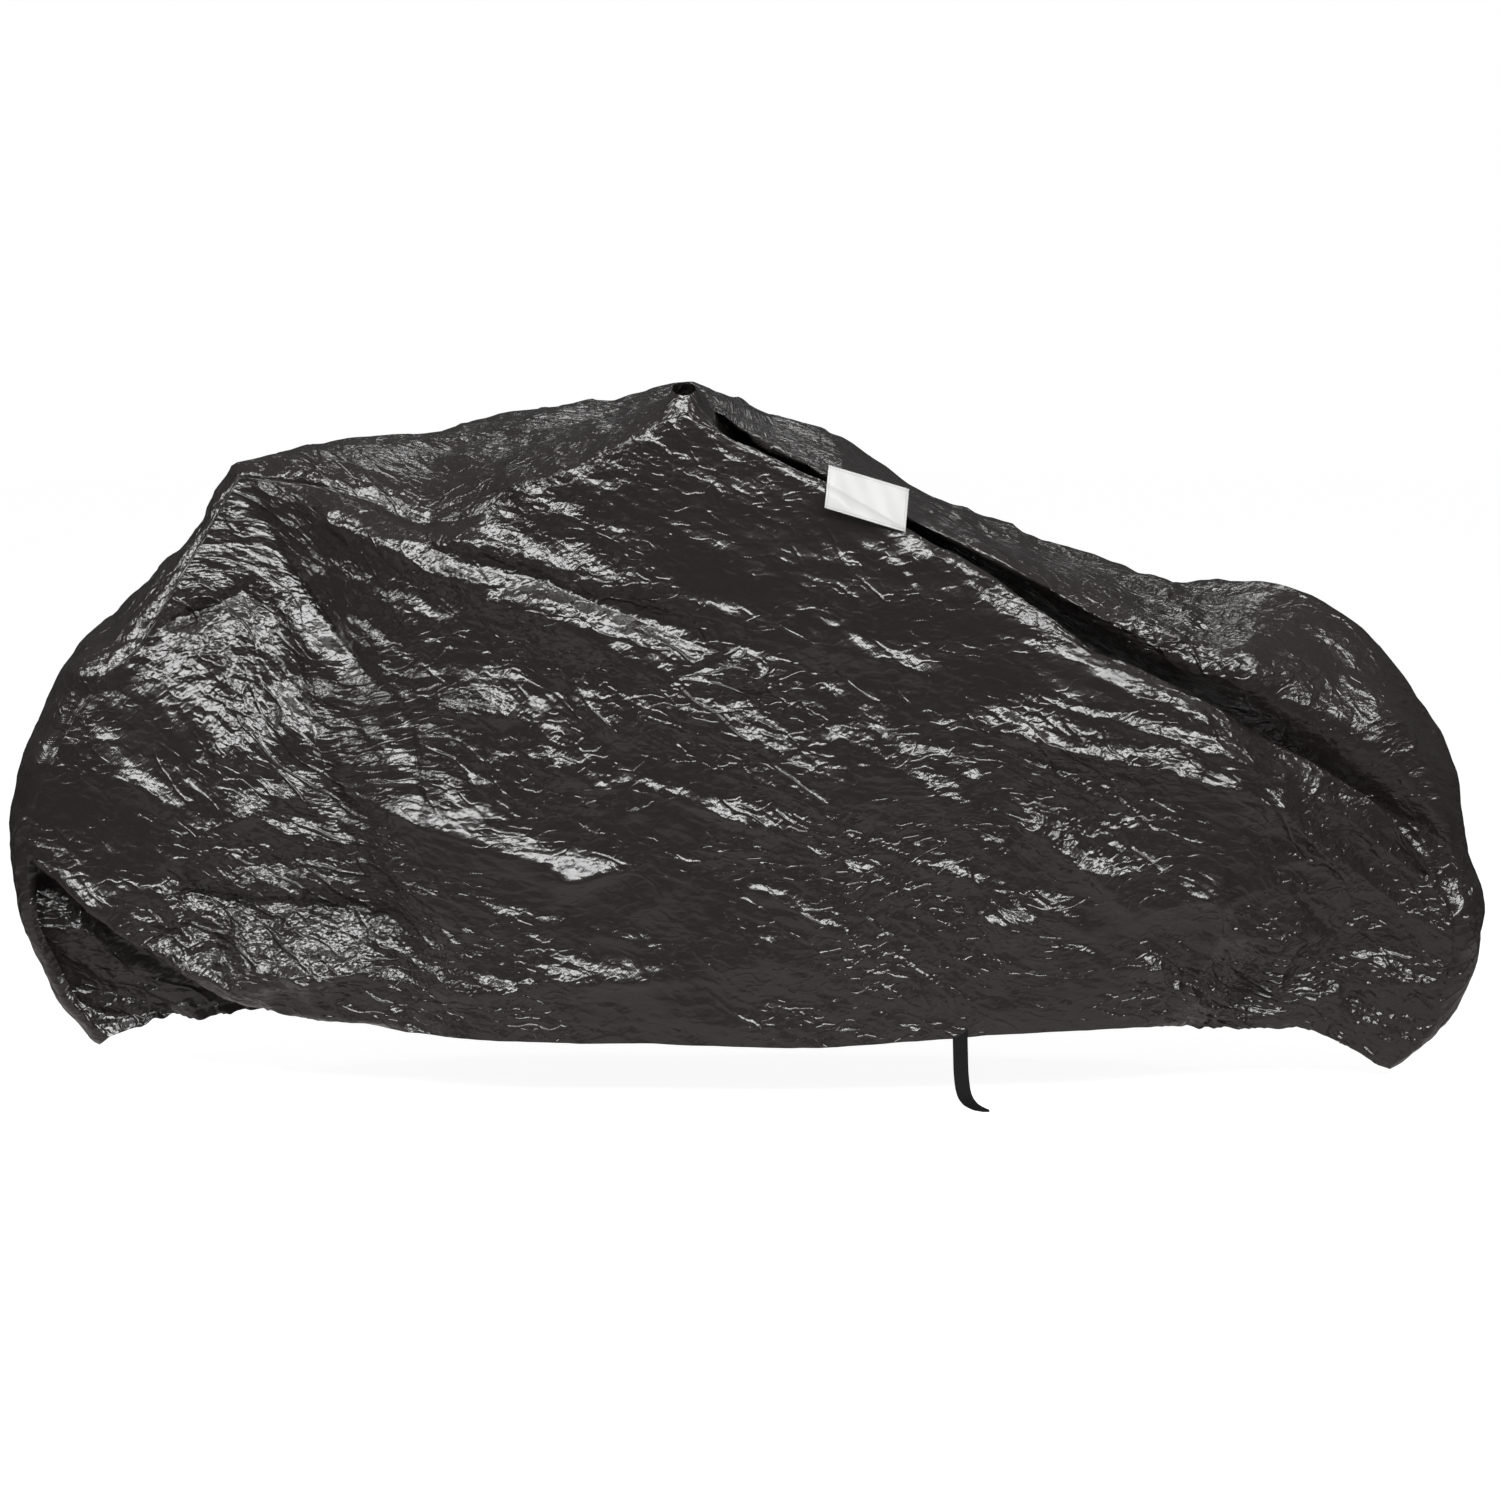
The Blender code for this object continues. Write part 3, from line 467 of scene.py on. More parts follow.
foldPieces = 14  # straight pieces that each fold's arc is measured by
foldReach = 4  # how many widths off a fold is still felt
foldColumns = (
    "name", "startX", "startZ", "bendX", "bendZ", "endX", "endZ",
    "rise", "above", "below", "sharp", "fadeIn", "fadeOut",
)
# Each fold runs along an arc from start past bend to end, seen from its side. Rise is outwards,
# above and below are where it has faded to a third on its upper and lower side, sharp is 1 for a
# sharp edge and 2 for a round one, and fades are shares of its length.
nearFolds = (
    # from the rear peak
    ("ridge from the rear peak", -0.72, 1.005, -0.3, 0.895, 0.11, 0.785, 0.022, 0.02, 0.032, 1.2, 0.1, 0.4),
    ("band under that ridge", -0.66, 0.975, -0.3, 0.8, 0.06, 0.68, 0.03, 0.048, 0.034, 1.6, 0.2, 0.3),
    ("hollow between the two", -0.5, 0.925, -0.22, 0.84, 0.05, 0.745, -0.012, 0.014, 0.016, 1.6, 0.2, 0.2),
    ("short band under that", -0.48, 0.82, -0.39, 0.775, -0.32, 0.725, 0.012, 0.022, 0.014, 1.5, 0.3, 0.3),
    ("streak before the crease", -0.55, 0.85, -0.46, 0.79, -0.39, 0.72, 0.011, 0.018, 0.02, 1.4, 0.3, 0.3),
    ("crease from the rear peak", -0.715, 0.97, -0.64, 0.78, -0.49, 0.65, -0.03, 0.016, 0.024, 1.1, 0.1, 0.3),
    ("edge behind that crease", -0.7, 0.93, -0.67, 0.76, -0.52, 0.63, 0.014, 0.016, 0.026, 1.2, 0.2, 0.3),
    # over the rear end
    ("crease over the rear end", -0.96, 0.75, -0.8, 0.77, -0.69, 0.84, -0.04, 0.01, 0.03, 1.0, 0.1, 0.3),
    ("swell on the rear end", -0.82, 0.52, -0.67, 0.585, -0.54, 0.61, 0.02, 0.05, 0.06, 1.6, 0.2, 0.3),
    ("soft fold down the back", -0.975, 0.68, -0.965, 0.56, -0.9, 0.42, 0.012, 0.026, 0.03, 1.8, 0.3, 0.3),
    ("short fold beside it", -0.93, 0.525, -0.88, 0.5, -0.82, 0.435, 0.012, 0.02, 0.02, 1.3, 0.3, 0.3),
    ("fold across the rear end", -0.76, 0.43, -0.68, 0.48, -0.58, 0.495, 0.015, 0.028, 0.026, 1.4, 0.3, 0.3),
    ("crease across the rear end", -0.86, 0.325, -0.74, 0.31, -0.48, 0.3, -0.02, 0.01, 0.03, 1.1, 0.2, 0.2),
    ("edge of the flap", -1.08, 0.375, -0.86, 0.19, -0.6, 0.125, 0.014, 0.03, 0.008, 1.3, 0.1, 0.3),
    ("shelf low at the rear", -0.78, 0.19, -0.64, 0.175, -0.45, 0.2, 0.036, 0.085, 0.03, 1.6, 0.2, 0.2),
    # the middle of the side
    ("packing crease", -0.46, 0.655, -0.45, 0.57, -0.418, 0.44, -0.01, 0.008, 0.01, 1.0, 0.2, 0.2),
    ("band across the middle", -0.58, 0.505, -0.37, 0.43, -0.11, 0.345, 0.02, 0.03, 0.05, 1.4, 0.2, 0.3),
    ("return of that band", -0.23, 0.345, -0.15, 0.365, -0.08, 0.395, 0.014, 0.022, 0.02, 1.4, 0.3, 0.3),
    ("streak under that band", -0.38, 0.345, -0.32, 0.325, -0.26, 0.285, 0.009, 0.014, 0.018, 1.3, 0.3, 0.3),
    ("streak in the middle", -0.42, 0.64, -0.33, 0.625, -0.26, 0.62, 0.01, 0.018, 0.02, 1.3, 0.3, 0.3),
    ("streak in front of it", -0.2, 0.655, -0.14, 0.63, -0.07, 0.59, 0.012, 0.018, 0.022, 1.3, 0.3, 0.3),
    ("long thin streak", -0.11, 0.525, 0.04, 0.48, 0.21, 0.425, 0.008, 0.01, 0.02, 1.2, 0.2, 0.3),
    ("steep streak", 0.085, 0.51, 0.05, 0.46, 0.01, 0.395, 0.008, 0.012, 0.014, 1.2, 0.3, 0.3),
    ("streak under the peak", 0.16, 0.76, 0.31, 0.72, 0.48, 0.672, 0.012, 0.022, 0.026, 1.5, 0.3, 0.4),
    ("patch in the middle", 0.22, 0.595, 0.37, 0.525, 0.5, 0.455, 0.026, 0.045, 0.045, 1.6, 0.3, 0.3),
    ("thin curved line", 0.13, 0.57, 0.2, 0.43, 0.49, 0.345, 0.011, 0.011, 0.028, 1.1, 0.1, 0.2),
    ("short streak under it", 0.06, 0.36, 0.2, 0.325, 0.27, 0.24, 0.009, 0.012, 0.018, 1.2, 0.3, 0.3),
    # above the hem
    ("streak above the hem", -0.18, 0.285, -0.11, 0.268, -0.04, 0.245, 0.008, 0.012, 0.016, 1.2, 0.3, 0.3),
    ("fold above the hem", -0.46, 0.15, -0.22, 0.195, 0.04, 0.198, 0.017, 0.026, 0.014, 1.3, 0.2, 0.3),
    ("fold along the hem", -0.15, 0.14, 0.15, 0.105, 0.5, 0.1, 0.009, 0.014, 0.012, 1.2, 0.2, 0.3),
    # round the corner in front
    ("upper fold to the corner", 0.44, 0.678, 0.74, 0.612, 0.925, 0.535, 0.009, 0.01, 0.014, 1.3, 0.4, 0.1),
    ("lower fold to the corner", 0.4, 0.632, 0.65, 0.56, 0.92, 0.498, 0.022, 0.038, 0.01, 1.3, 0.4, 0.1),
    ("streak under that fold", 0.38, 0.58, 0.43, 0.55, 0.48, 0.505, 0.013, 0.026, 0.02, 1.4, 0.3, 0.3),
    ("fold out of the corner", 0.92, 0.51, 1.07, 0.36, 1.3, 0.205, 0.022, 0.014, 0.022, 1.2, 0.1, 0.2),
    ("second fold out of the corner", 0.93, 0.49, 1.02, 0.4, 1.11, 0.31, 0.016, 0.012, 0.016, 1.2, 0.1, 0.4),
    ("third fold out of the corner", 1.0, 0.5, 1.15, 0.39, 1.3, 0.255, 0.014, 0.012, 0.016, 1.2, 0.2, 0.2),
    ("patches behind the front end", 0.51, 0.47, 0.62, 0.4, 0.75, 0.27, 0.02, 0.026, 0.03, 1.4, 0.2, 0.2),
    ("streak across them", 0.72, 0.305, 0.79, 0.325, 0.87, 0.34, 0.015, 0.022, 0.02, 1.3, 0.3, 0.3),
    ("short streak there", 0.39, 0.39, 0.44, 0.375, 0.49, 0.345, 0.011, 0.018, 0.02, 1.3, 0.3, 0.3),
    ("patch beside them", 0.86, 0.275, 0.92, 0.255, 0.98, 0.225, 0.017, 0.028, 0.02, 1.4, 0.3, 0.3),
    ("fold down in front", 0.85, 0.43, 0.88, 0.29, 0.8, 0.12, 0.014, 0.016, 0.022, 1.3, 0.3, 0.2),
    ("second fold down in front", 0.98, 0.3, 1.0, 0.22, 0.94, 0.12, 0.012, 0.014, 0.018, 1.3, 0.3, 0.2),
    ("short fold above the hem", 0.72, 0.25, 0.76, 0.19, 0.83, 0.13, 0.012, 0.02, 0.016, 1.3, 0.3, 0.2),
    ("fold along the front end", 0.96, 0.125, 1.1, 0.165, 1.3, 0.17, 0.022, 0.018, 0.014, 1.2, 0.2, 0.2),
    ("pocket over that fold", 0.96, 0.165, 1.08, 0.235, 1.22, 0.235, -0.014, 0.02, 0.024, 1.5, 0.2, 0.2),
    ("slack in the middle", 0.15, 0.56, 0.35, 0.43, 0.62, 0.4, 0.01, 0.07, 0.07, 2.0, 0.2, 0.3),
)
# These cross the shoulder, so they also lift the cloth just above it
nearTucks = (
    ("tuck between the peaks", -0.405, 0.925, -0.215, 1.006, -0.01, 1.1, 0.005, 0.006, 0.018, 1.0,
     0.05, 0.05),
)
# These lie on the near half of the top
nearTopFolds = (
    ("ridge across the valley", 0.05, 1.12, 0.4, 0.99, 0.82, 0.725, 0.011, 0.018, 0.012, 1.2, 0.2, 0.3),
    ("second ridge across it", 0.48, 0.9, 0.7, 0.82, 0.96, 0.74, 0.008, 0.014, 0.01, 1.2, 0.2, 0.3),
    ("ridge along the front edge", 1.09, 0.68, 1.2, 0.56, 1.262, 0.4, 0.012, 0.014, 0.014, 1.3, 0.2, 0.2),
)
farFolds = (
    ("ridge from the rear peak", -0.68, 0.985, -0.28, 0.9, 0.12, 0.7, 0.028, 0.014, 0.028, 1.1, 0.1, 0.4),
    ("band under that ridge", -0.62, 0.9, -0.25, 0.76, 0.02, 0.62, 0.022, 0.024, 0.032, 1.6, 0.2, 0.4),
    ("crease from the rear peak", -0.72, 0.94, -0.7, 0.78, -0.56, 0.6, -0.026, 0.02, 0.026, 1.1, 0.1, 0.3),
    ("crease over the rear end", -0.97, 0.73, -0.83, 0.76, -0.71, 0.85, -0.026, 0.012, 0.028, 1.1, 0.1, 0.3),
    ("swell on the rear end", -0.94, 0.62, -0.8, 0.54, -0.64, 0.5, 0.022, 0.08, 0.08, 2.0, 0.2, 0.3),
    ("low arc", -0.36, 0.4, -0.2, 0.44, -0.06, 0.34, 0.014, 0.026, 0.032, 1.5, 0.2, 0.3),
    ("fold above the hem", -0.3, 0.16, 0.0, 0.2, 0.3, 0.17, 0.018, 0.03, 0.014, 1.3, 0.2, 0.2),
    ("fold from the peak", 0.02, 1.0, 0.24, 0.7, 0.33, 0.42, 0.02, 0.018, 0.026, 1.2, 0.1, 0.4),
    ("upper fold to the corner", 0.42, 0.6, 0.68, 0.6, 0.9, 0.535, 0.018, 0.012, 0.018, 1.2, 0.4, 0.1),
    ("fold out of the corner", 0.92, 0.52, 1.06, 0.43, 1.21, 0.32, 0.024, 0.014, 0.022, 1.2, 0.1, 0.3),
    ("fold along the front end", 0.98, 0.16, 1.08, 0.2, 1.23, 0.18, 0.02, 0.02, 0.016, 1.3, 0.2, 0.2),
    ("slack in the middle", 0.18, 0.52, 0.4, 0.38, 0.64, 0.36, 0.01, 0.07, 0.07, 2.0, 0.2, 0.3),
)


# Signed distance from each point to a fold's arc, more than 0 above it, and how far along the arc
# the nearest point is. The arc is a parabola cut into straight pieces
def arcDistance(x, z, fold):
    t = np.linspace(0, 1, foldPieces + 1)
    arcX, arcZ = (
        (1 - t) ** 2 * fold["start" + axis] + 2 * t * (1 - t) * fold["bend" + axis]
        + t * t * fold["end" + axis] for axis in "XZ"
    )
    best = np.full(x.shape, np.inf)
    signed, where = np.zeros(x.shape), np.zeros(x.shape)
    for i in range(foldPieces):
        stepX, stepZ = arcX[i + 1] - arcX[i], arcZ[i + 1] - arcZ[i]
        share = ((x - arcX[i]) * stepX + (z - arcZ[i]) * stepZ) / (stepX ** 2 + stepZ ** 2)
        share = np.clip(share, 0, 1)
        offX, offZ = x - arcX[i] - share * stepX, z - arcZ[i] - share * stepZ
        gap = np.hypot(offX, offZ)
        nearer = gap < best
        best = np.where(nearer, gap, best)
        side = np.sign(stepX * offZ - stepZ * offX)
        signed = np.where(nearer, side * gap, signed)
        where = np.where(nearer, (i + share) / foldPieces, where)
    return signed, where


# What all folds of a list add: each is its rise times e to the power of minus its distance over
# its width, to the power of its sharpness, and fades in and out along its arc
def foldedHeight(x, z, folds):
    total = np.zeros(x.shape)
    for row in folds:
        fold = dict(zip(foldColumns, row))
        reach = foldReach * max(fold["above"], fold["below"])
        ends = [fold[e + a] for e in ("start", "bend", "end") for a in "XZ"]
        close = (
            (x > min(ends[::2]) - reach) & (x < max(ends[::2]) + reach)
            & (z > min(ends[1::2]) - reach) & (z < max(ends[1::2]) + reach)
        )
        if not close.any():
            continue
        gap, where = arcDistance(x[close], z[close], fold)
        width = np.where(gap > 0, fold["above"], fold["below"])
        fade = smoothStep(0, fold["fadeIn"], where) * smoothStep(0, fold["fadeOut"], 1 - where)
        total[close] += fold["rise"] * fade * np.exp(-(np.abs(gap) / width) ** fold["sharp"])
    return total


# Loose cloth: the mean of a few slanting sine waves
def slackHeight(x, z, phase):
    waves = [np.sin(a * x + b * z + c + phase) for a, b, c in coverShape["slackWaves"]]
    return coverShape["slack"] * sum(waves) / len(waves)


# salt, how many, lowest and highest X, lowest and highest Z
creaseFields = {
    "near": (5, 340, (-1.08, 1.28), (0.10, 1.02)),
    "far": (6, 200, (-1.08, 1.28), (0.10, 1.02)),
    "top": (7, 70, (-0.7, 1.25), (0.55, 1.14)),
}
creaseSizes = {
    "length": (0.05, 0.20),
    "bend": 0.16,  # share of the length that its middle is off the straight line
    "turn": 0.55,  # how far it may be turned away from the pull, in radians
    "rise": (0.0025, 0.0085),
    "hollowShare": 0.3,  # share of the creases that go inwards
    "above": (0.006, 0.012),
    "below": (0.008, 0.020),
    "sharp": (1.0, 1.4),
    "fades": (0.3, 0.4),
}


# Short creases scattered over a side, as rows like those above. Each runs roughly along the pull
# of the cloth, and those in crumpled places are higher
def scatteredCreases(field):
    salt, count, spanX, spanZ = creaseFields[field]
    random = np.random.default_rng(salt)
    sizes = creaseSizes
    x, z = random.uniform(*spanX, count), random.uniform(*spanZ, count)
    angle = pullAngle + random.normal(0, sizes["turn"], count)
    half = 0.5 * random.uniform(*sizes["length"], count)
    off = 2 * half * sizes["bend"] * random.uniform(-1, 1, count)
    rise = random.uniform(*sizes["rise"], count)
    rise *= np.where(random.random(count) < sizes["hollowShare"], -1, 1)
    rise *= crumpleAmount(x, z)
    c, s = np.cos(angle), np.sin(angle)
    columns = (
        x - half * c, z - half * s, x - off * s, z + off * c, x + half * c, z + half * s, rise,
        *(random.uniform(*sizes[name], count) for name in ("above", "below", "sharp")),
        *(np.full(count, fade) for fade in sizes["fades"]),
    )
    return tuple((field, *row) for row in np.stack(columns, axis=1))


# size of the facets, slope of the facets, stretch along the pull, salt, which mix of pulls
crumpleLayers = (
    (0.150, 0.13, 2.2, 11, "all"),
    (0.066, 0.17, 2.2, 23, "level"),
    (0.060, 0.19, 1.8, 29, "steep"),
    (0.028, 0.11, 1.4, 37, "all"),
)
pullAngle = math.radians(-24)  # the cloth is pulled from its top at the rear to its front corner
steepAngle = math.radians(-64)  # and more steeply in the places of the table below
# where the cloth is more or less crumpled than elsewhere: x, z, half length, half height, factor
crumplePlaces = (
    ("under the rear peak", -0.68, 0.85, 0.16, 0.14, 1.3),
    ("on the rear end", -0.66, 0.53, 0.16, 0.16, 1.2),
    ("back of the rear end", -1.02, 0.52, 0.12, 0.26, 0.6),
    ("low at the rear", -0.62, 0.25, 0.28, 0.12, 1.5),
    ("smooth panel under the peak", 0.12, 0.88, 0.20, 0.13, 0.45),
    ("smooth panel in front of it", 0.36, 0.74, 0.20, 0.10, 0.55),
    ("above the hem in the middle", 0.25, 0.14, 0.45, 0.05, 0.8),
    ("over the front end", 1.10, 0.64, 0.14, 0.14, 0.8),
    ("low in front", 0.80, 0.28, 0.30, 0.14, 1.4),
    ("under the label", 0.285, 0.965, 0.085, 0.050, 0.05),
    ("dull panel at the rear", -0.87, 0.59, 0.09, 0.10, 0.45),
    ("between the long folds", 0.62, 0.69, 0.15, 0.035, 0.4),
    ("dip in the front top", 0.82, 0.775, 0.10, 0.07, 2.0),
    ("gathers by the front hem", 0.88, 0.15, 0.12, 0.07, 1.8),
)
# where it is pulled steeply: x, z, half length, half height, share of the steep pull
steepPlaces = (
    ("under the rear peak", -0.66, 0.72, 0.20, 0.26, 1.0),
    ("low in front", 0.52, 0.36, 0.14, 0.16, 0.8),
    ("in front of the rear end", -0.36, 0.50, 0.14, 0.16, 0.6),
    ("behind the front end", 0.90, 0.30, 0.12, 0.18, 0.8),
)
# slow changes of how crumpled it is, all over the cloth
crumpleTide = {"size": 0.28, "strength": 0.675, "salt": 53, "least": 0.3, "most": 1.8}
facetGain = 0.75  # brings a facet's mean slope to the one in the table
# large odd numbers that mix the place of a cell into random bits
hashPrimes = (73856093, 19349663, 83492791)
hashSalt = (2654435, 97)
hashMixers = (2246822519, 3266489917, 668265263)
hashLargest = 4294967295.0


# Three even random numbers from 0 to 1 for each cell, mixed from the cell's whole numbers
def cellJitter(cell, salt):
    mixed = np.uint32(salt * hashSalt[0] + hashSalt[1])
    for axis, prime in enumerate(hashPrimes):
        mixed = mixed ^ cell[..., axis].astype(np.uint32) * np.uint32(prime)
    numbers = []
    for mixer in hashMixers:
        mixed = (mixed ^ (mixed >> np.uint32(15))) * np.uint32(mixer)
        mixed = mixed ^ (mixed >> np.uint32(13))
        numbers.append(mixed / hashLargest)
    return np.stack(numbers, axis=-1)


# Squared distance from each point to the nearest of the scattered seeds, one in each unit cell
def nearestSquared(points, salt):
    home = np.floor(points).astype(np.int64)
    best = np.full(points.shape[:-1], np.inf)
    for step in itertools.product((-1, 0, 1), repeat=3):
        cell = home + step
        best = np.minimum(best, ((points - cell - cellJitter(cell, salt)) ** 2).sum(axis=-1))
    return best


# Crumpled foil: the difference of two such squared distances is flat wherever both nearest seeds
# stay the same, so it is made of flat facets that meet in sharp ridges and valleys
def facets(points, size, salt):
    scaled = points / size
    return size * (nearestSquared(scaled, salt) - nearestSquared(scaled, salt + 1))


# The points turned to the pull and squeezed along it, so that facets come out longer that way
def pulled(points, stretch, angle):
    c, s = math.cos(angle), math.sin(angle)
    along = c * points[..., 0] + s * points[..., 2]
    up = -s * points[..., 0] + c * points[..., 2]
    return np.stack([along / stretch, points[..., 1], up], axis=-1)


# How much of each soft patch of a table there is at these points: e to the power of minus the cube
# of the distance from its middle, counted in half sizes
def patches(x, z, places):
    for name, middleX, middleZ, halfX, halfZ, factor in places:
        yield factor, np.exp(-(((x - middleX) / halfX) ** 2 + ((z - middleZ) / halfZ) ** 2) ** 1.5)


# How far the cloth follows the steep pull, which is the most that any patch says
def steepShare(x, z):
    share = np.zeros(x.shape)
    for factor, inside in patches(x, z, steepPlaces):
        share = np.maximum(share, factor * inside)
    return share


# How crumpled the cloth is: the factors of all patches, times a slow random tide
def crumpleAmount(x, z):
    amount = np.ones(x.shape)
    for factor, inside in patches(x, z, crumplePlaces):
        amount *= 1 + (factor - 1) * inside
    flat = np.stack([x, 0 * x, z], axis=-1)
    tide = facets(flat, crumpleTide["size"], crumpleTide["salt"]) / crumpleTide["size"]
    swing = 1 + crumpleTide["strength"] * tide
    return amount * np.clip(swing, crumpleTide["least"], crumpleTide["most"])


# The sum of all layers of facets, from large to small
def crumpleHeight(points, steep):
    height = np.zeros(points.shape[:-1])
    shares = {"all": 1.0, "level": 1 - steep, "steep": steep}
    for size, slope, stretch, salt, mix in crumpleLayers:
        angle = steepAngle if mix == "steep" else pullAngle
        height += shares[mix] * facetGain * slope * facets(pulled(points, stretch, angle), size, salt)
    return height


roundHole = {
    "at": 11.97,  # which section, and how far across
    "across": 1.05,
    "width": 0.038,
    "height": 0.042,
    "lip": 0.005,  # how far the cloth stands up round it
    "lipWidth": 0.55,
    "sink": 0.003,
    "reach": 3,  # how many times its own size the lip may reach, and how far across
    "reachAcross": 0.5,
}
elasticHem = {
    "drawnRows": (0, 3, 5.0, 6.5, 17.8, 18.8, 24, 26),  # how much it's drawn in at these sections
    "drawnShares": (0.6, 1, 0.8, 0, 0, 1, 1, 0.5),
    "waves": ((0.047, 0.0036, 0.055), (0.0185, 0.0016, 0.014)),  # pitch, depth, reach up the cloth
    "wobble": (0.35, 4.3),  # how uneven the pitch is, and over how many waves
}


# The values of a grid at the four corners of each of its cells
def cellCorners(grid):
    return np.stack([grid[:-1, :-1], grid[:-1, 1:], grid[1:, 1:], grid[1:, :-1]], axis=2)


# A piece of four-cornered faces. Each flat layer has one place for each corner of each face
def quadPiece(name, points, faces, layers):
    mesh = bpy.data.meshes.new(name)
    mesh.vertices.add(len(points))
    mesh.vertices.foreach_set("co", points.astype(np.float32).ravel())
    mesh.loops.add(faces.size)
    mesh.loops.foreach_set("vertex_index", faces.astype(np.int32).ravel())
    mesh.polygons.add(len(faces))
    mesh.polygons.foreach_set("loop_start", np.arange(0, faces.size, 4, dtype=np.int32))
    mesh.update(calc_edges=True)
    for layerName, places in layers.items():
        layer = mesh.uv_layers.new(name=layerName)
        layer.data.foreach_set("uv", places.astype(np.float32).ravel())
    mesh.shade_smooth()
    mesh.validate()
    piece = bpy.data.objects.new(name, mesh)
    bpy.context.scene.collection.objects.link(piece)
    return piece


# The grid's steps along and across: its columns lie evenly along the cloth, and its rows evenly
# across each quarter
def gridSteps():
    knots = np.concatenate([[0], np.cumsum(sectionSpacing(sectionTable()))])
    even = np.linspace(0, knots[-1], coverShape["columns"] + 1)
    at = np.interp(even, knots, np.arange(len(knots)))
    across = [
        quarter + np.linspace(0, 1, count + 1)[:-1] for quarter, count in enumerate(coverShape["rows"])
    ]
    return np.meshgrid(at, np.concatenate(across + [[len(across)]]))


# Where the sheet is on the uncut cloth. On a side that is X as it is and the way up from its hem,
# on the top the way along the crown and the way in from the near shoulder, all measured on the sheet
def flatPlaces(points, across):
    step = np.linalg.norm(np.diff(points[..., 1:], axis=0), axis=-1)
    way = np.concatenate([np.zeros((1, points.shape[1])), np.cumsum(step, axis=0)])
    shoulder, crown = (np.argmin(np.abs(across[:, 0] - place)) for place in (1, 2))
    x = points[..., 0]
    along = np.linalg.norm(np.diff(points[crown], axis=0), axis=-1)
    along = x[0, 0] + np.concatenate([[0], np.cumsum(along)]) + 0 * x
    near, far = np.stack([x, way], axis=-1), np.stack([x, way[-1:] - way], axis=-1)
    return near, np.stack([along, way - way[shoulder]], axis=-1), far


# Flat places turned back by an angle
def turned(places, angle):
    c, s = math.cos(angle), math.sin(angle)
    return places @ np.array([[c, -s], [s, c]])


# The near side's flat places turned so that the first number runs along the pull. In the steep
# patches it turns on to the steep angle round the middle of the patch
def pulledPlaces(flat, x, z):
    pulledFlat = turned(flat, pullAngle)
    for name, middleX, middleZ, halfX, halfZ, share in steepPlaces:
        middle = flat.reshape(-1, 2)[np.argmin((x - middleX) ** 2 + (z - middleZ) ** 2)]
        inside = share * np.exp(-(((x - middleX) / halfX) ** 2 + ((z - middleZ) / halfZ) ** 2))
        way = turned(flat - middle, steepAngle) - turned(flat - middle, pullAngle)
        pulledFlat += inside[..., None] * way
    return pulledFlat


# Near both ends elastic draws the hem in: waves along the hem that die out up the cloth
def hemGathers(base, flat, at, across):
    size = elasticHem
    uneven, waves = size["wobble"]
    total = 0.0
    for edge, away in ((0, flat[..., 1]), (-1, flat[-1:, :, 1] - flat[..., 1])):
        step = np.linalg.norm(np.diff(base[edge], axis=0), axis=-1)
        along = np.concatenate([[0], np.cumsum(step)])
        drawn = np.interp(at[0], size["drawnRows"], size["drawnShares"])
        for pitch, depth, reach in size["waves"]:
            wobble = uneven * np.sin(2 * math.pi * along / (waves * pitch))
            wave = np.sin(2 * math.pi * along / pitch + 2 * math.pi * wobble)
            total = total + depth * drawn * wave * np.exp(-away / reach)
    return total


# Moves the grid round the round hole onto its oval and lifts it into a lip. Returns the cells to
# leave out, which are those with their middle inside
def openRoundHole(points, at, across):
    shape = roundHole
    row, column = np.unravel_index(
        np.argmin((at - shape["at"]) ** 2 + (across - shape["across"]) ** 2), at.shape
    )
    middle = points[row, column].copy()
    up = points[row + 2, column] - points[row - 2, column]
    up /= np.linalg.norm(up)
    out = np.cross((1, 0, 0), up)
    offset = points - middle
    right, high = offset @ (1, 0, 0) / (shape["width"] / 2), offset @ up / (shape["height"] / 2)
    reach = np.hypot(right, high)
    close = (reach < shape["reach"]) & (np.abs(across - shape["across"]) < shape["reachAcross"])
    lip = shape["lip"] * np.exp(-((reach - 1) / shape["lipWidth"]) ** 2)
    skip = (cellCorners(reach).mean(axis=-1) < 1) & close[:-1, :-1]
    rim = np.zeros(at.shape, bool)
    for down, along in itertools.product((0, 1), repeat=2):
        rim[down:skip.shape[0] + down, along:skip.shape[1] + along] |= skip
    scale = np.where(rim & (reach > 0.01), 1 / np.maximum(reach, 0.01), 1)[..., None]
    flat = offset - (offset @ out)[..., None] * out
    settled = middle + flat * scale + out * (shape["lip"] - shape["sink"])
    points[:] = np.where(rim[..., None], settled, points + (lip * close)[..., None] * out)
    return skip


# What folds, creases and slack add, calmed as the table says. Only the tucks cross a shoulder
def foldPush(x, z, out, across):
    shape = coverShape
    share = np.where(across < 1, 1 - across, np.where(across > 3, across - 3, 0))
    calm = np.clip((1 - share) * shape["calmHem"], shape["calmLeast"], 1)
    calm = calm * np.clip(out / shape["calmOut"], shape["calmLeast"], 1)
    push = np.zeros(x.shape)
    for chosen, folds, phase in (
        (across < 1, nearFolds + scatteredCreases("near"), 0.0),
        ((across >= 1) & (across < 2), nearTopFolds + scatteredCreases("top"), 0.0),
        (across > 3, farFolds + scatteredCreases("far"), 2.0),
    ):
        height = foldedHeight(x[chosen], z[chosen], folds) + slackHeight(x[chosen], z[chosen], phase)
        push[chosen] = height * calm[chosen]
    for shoulder, steepness in shape["calmShoulders"]:
        push *= np.clip(np.abs(across - shoulder) * steepness, 0, 1)
    close = across < shape["tuckFade"][1]
    tucks = foldedHeight(x[close], z[close], nearTucks)
    push[close] += tucks * (1 - smoothStep(*shape["tuckFade"], across[close]))
    return push


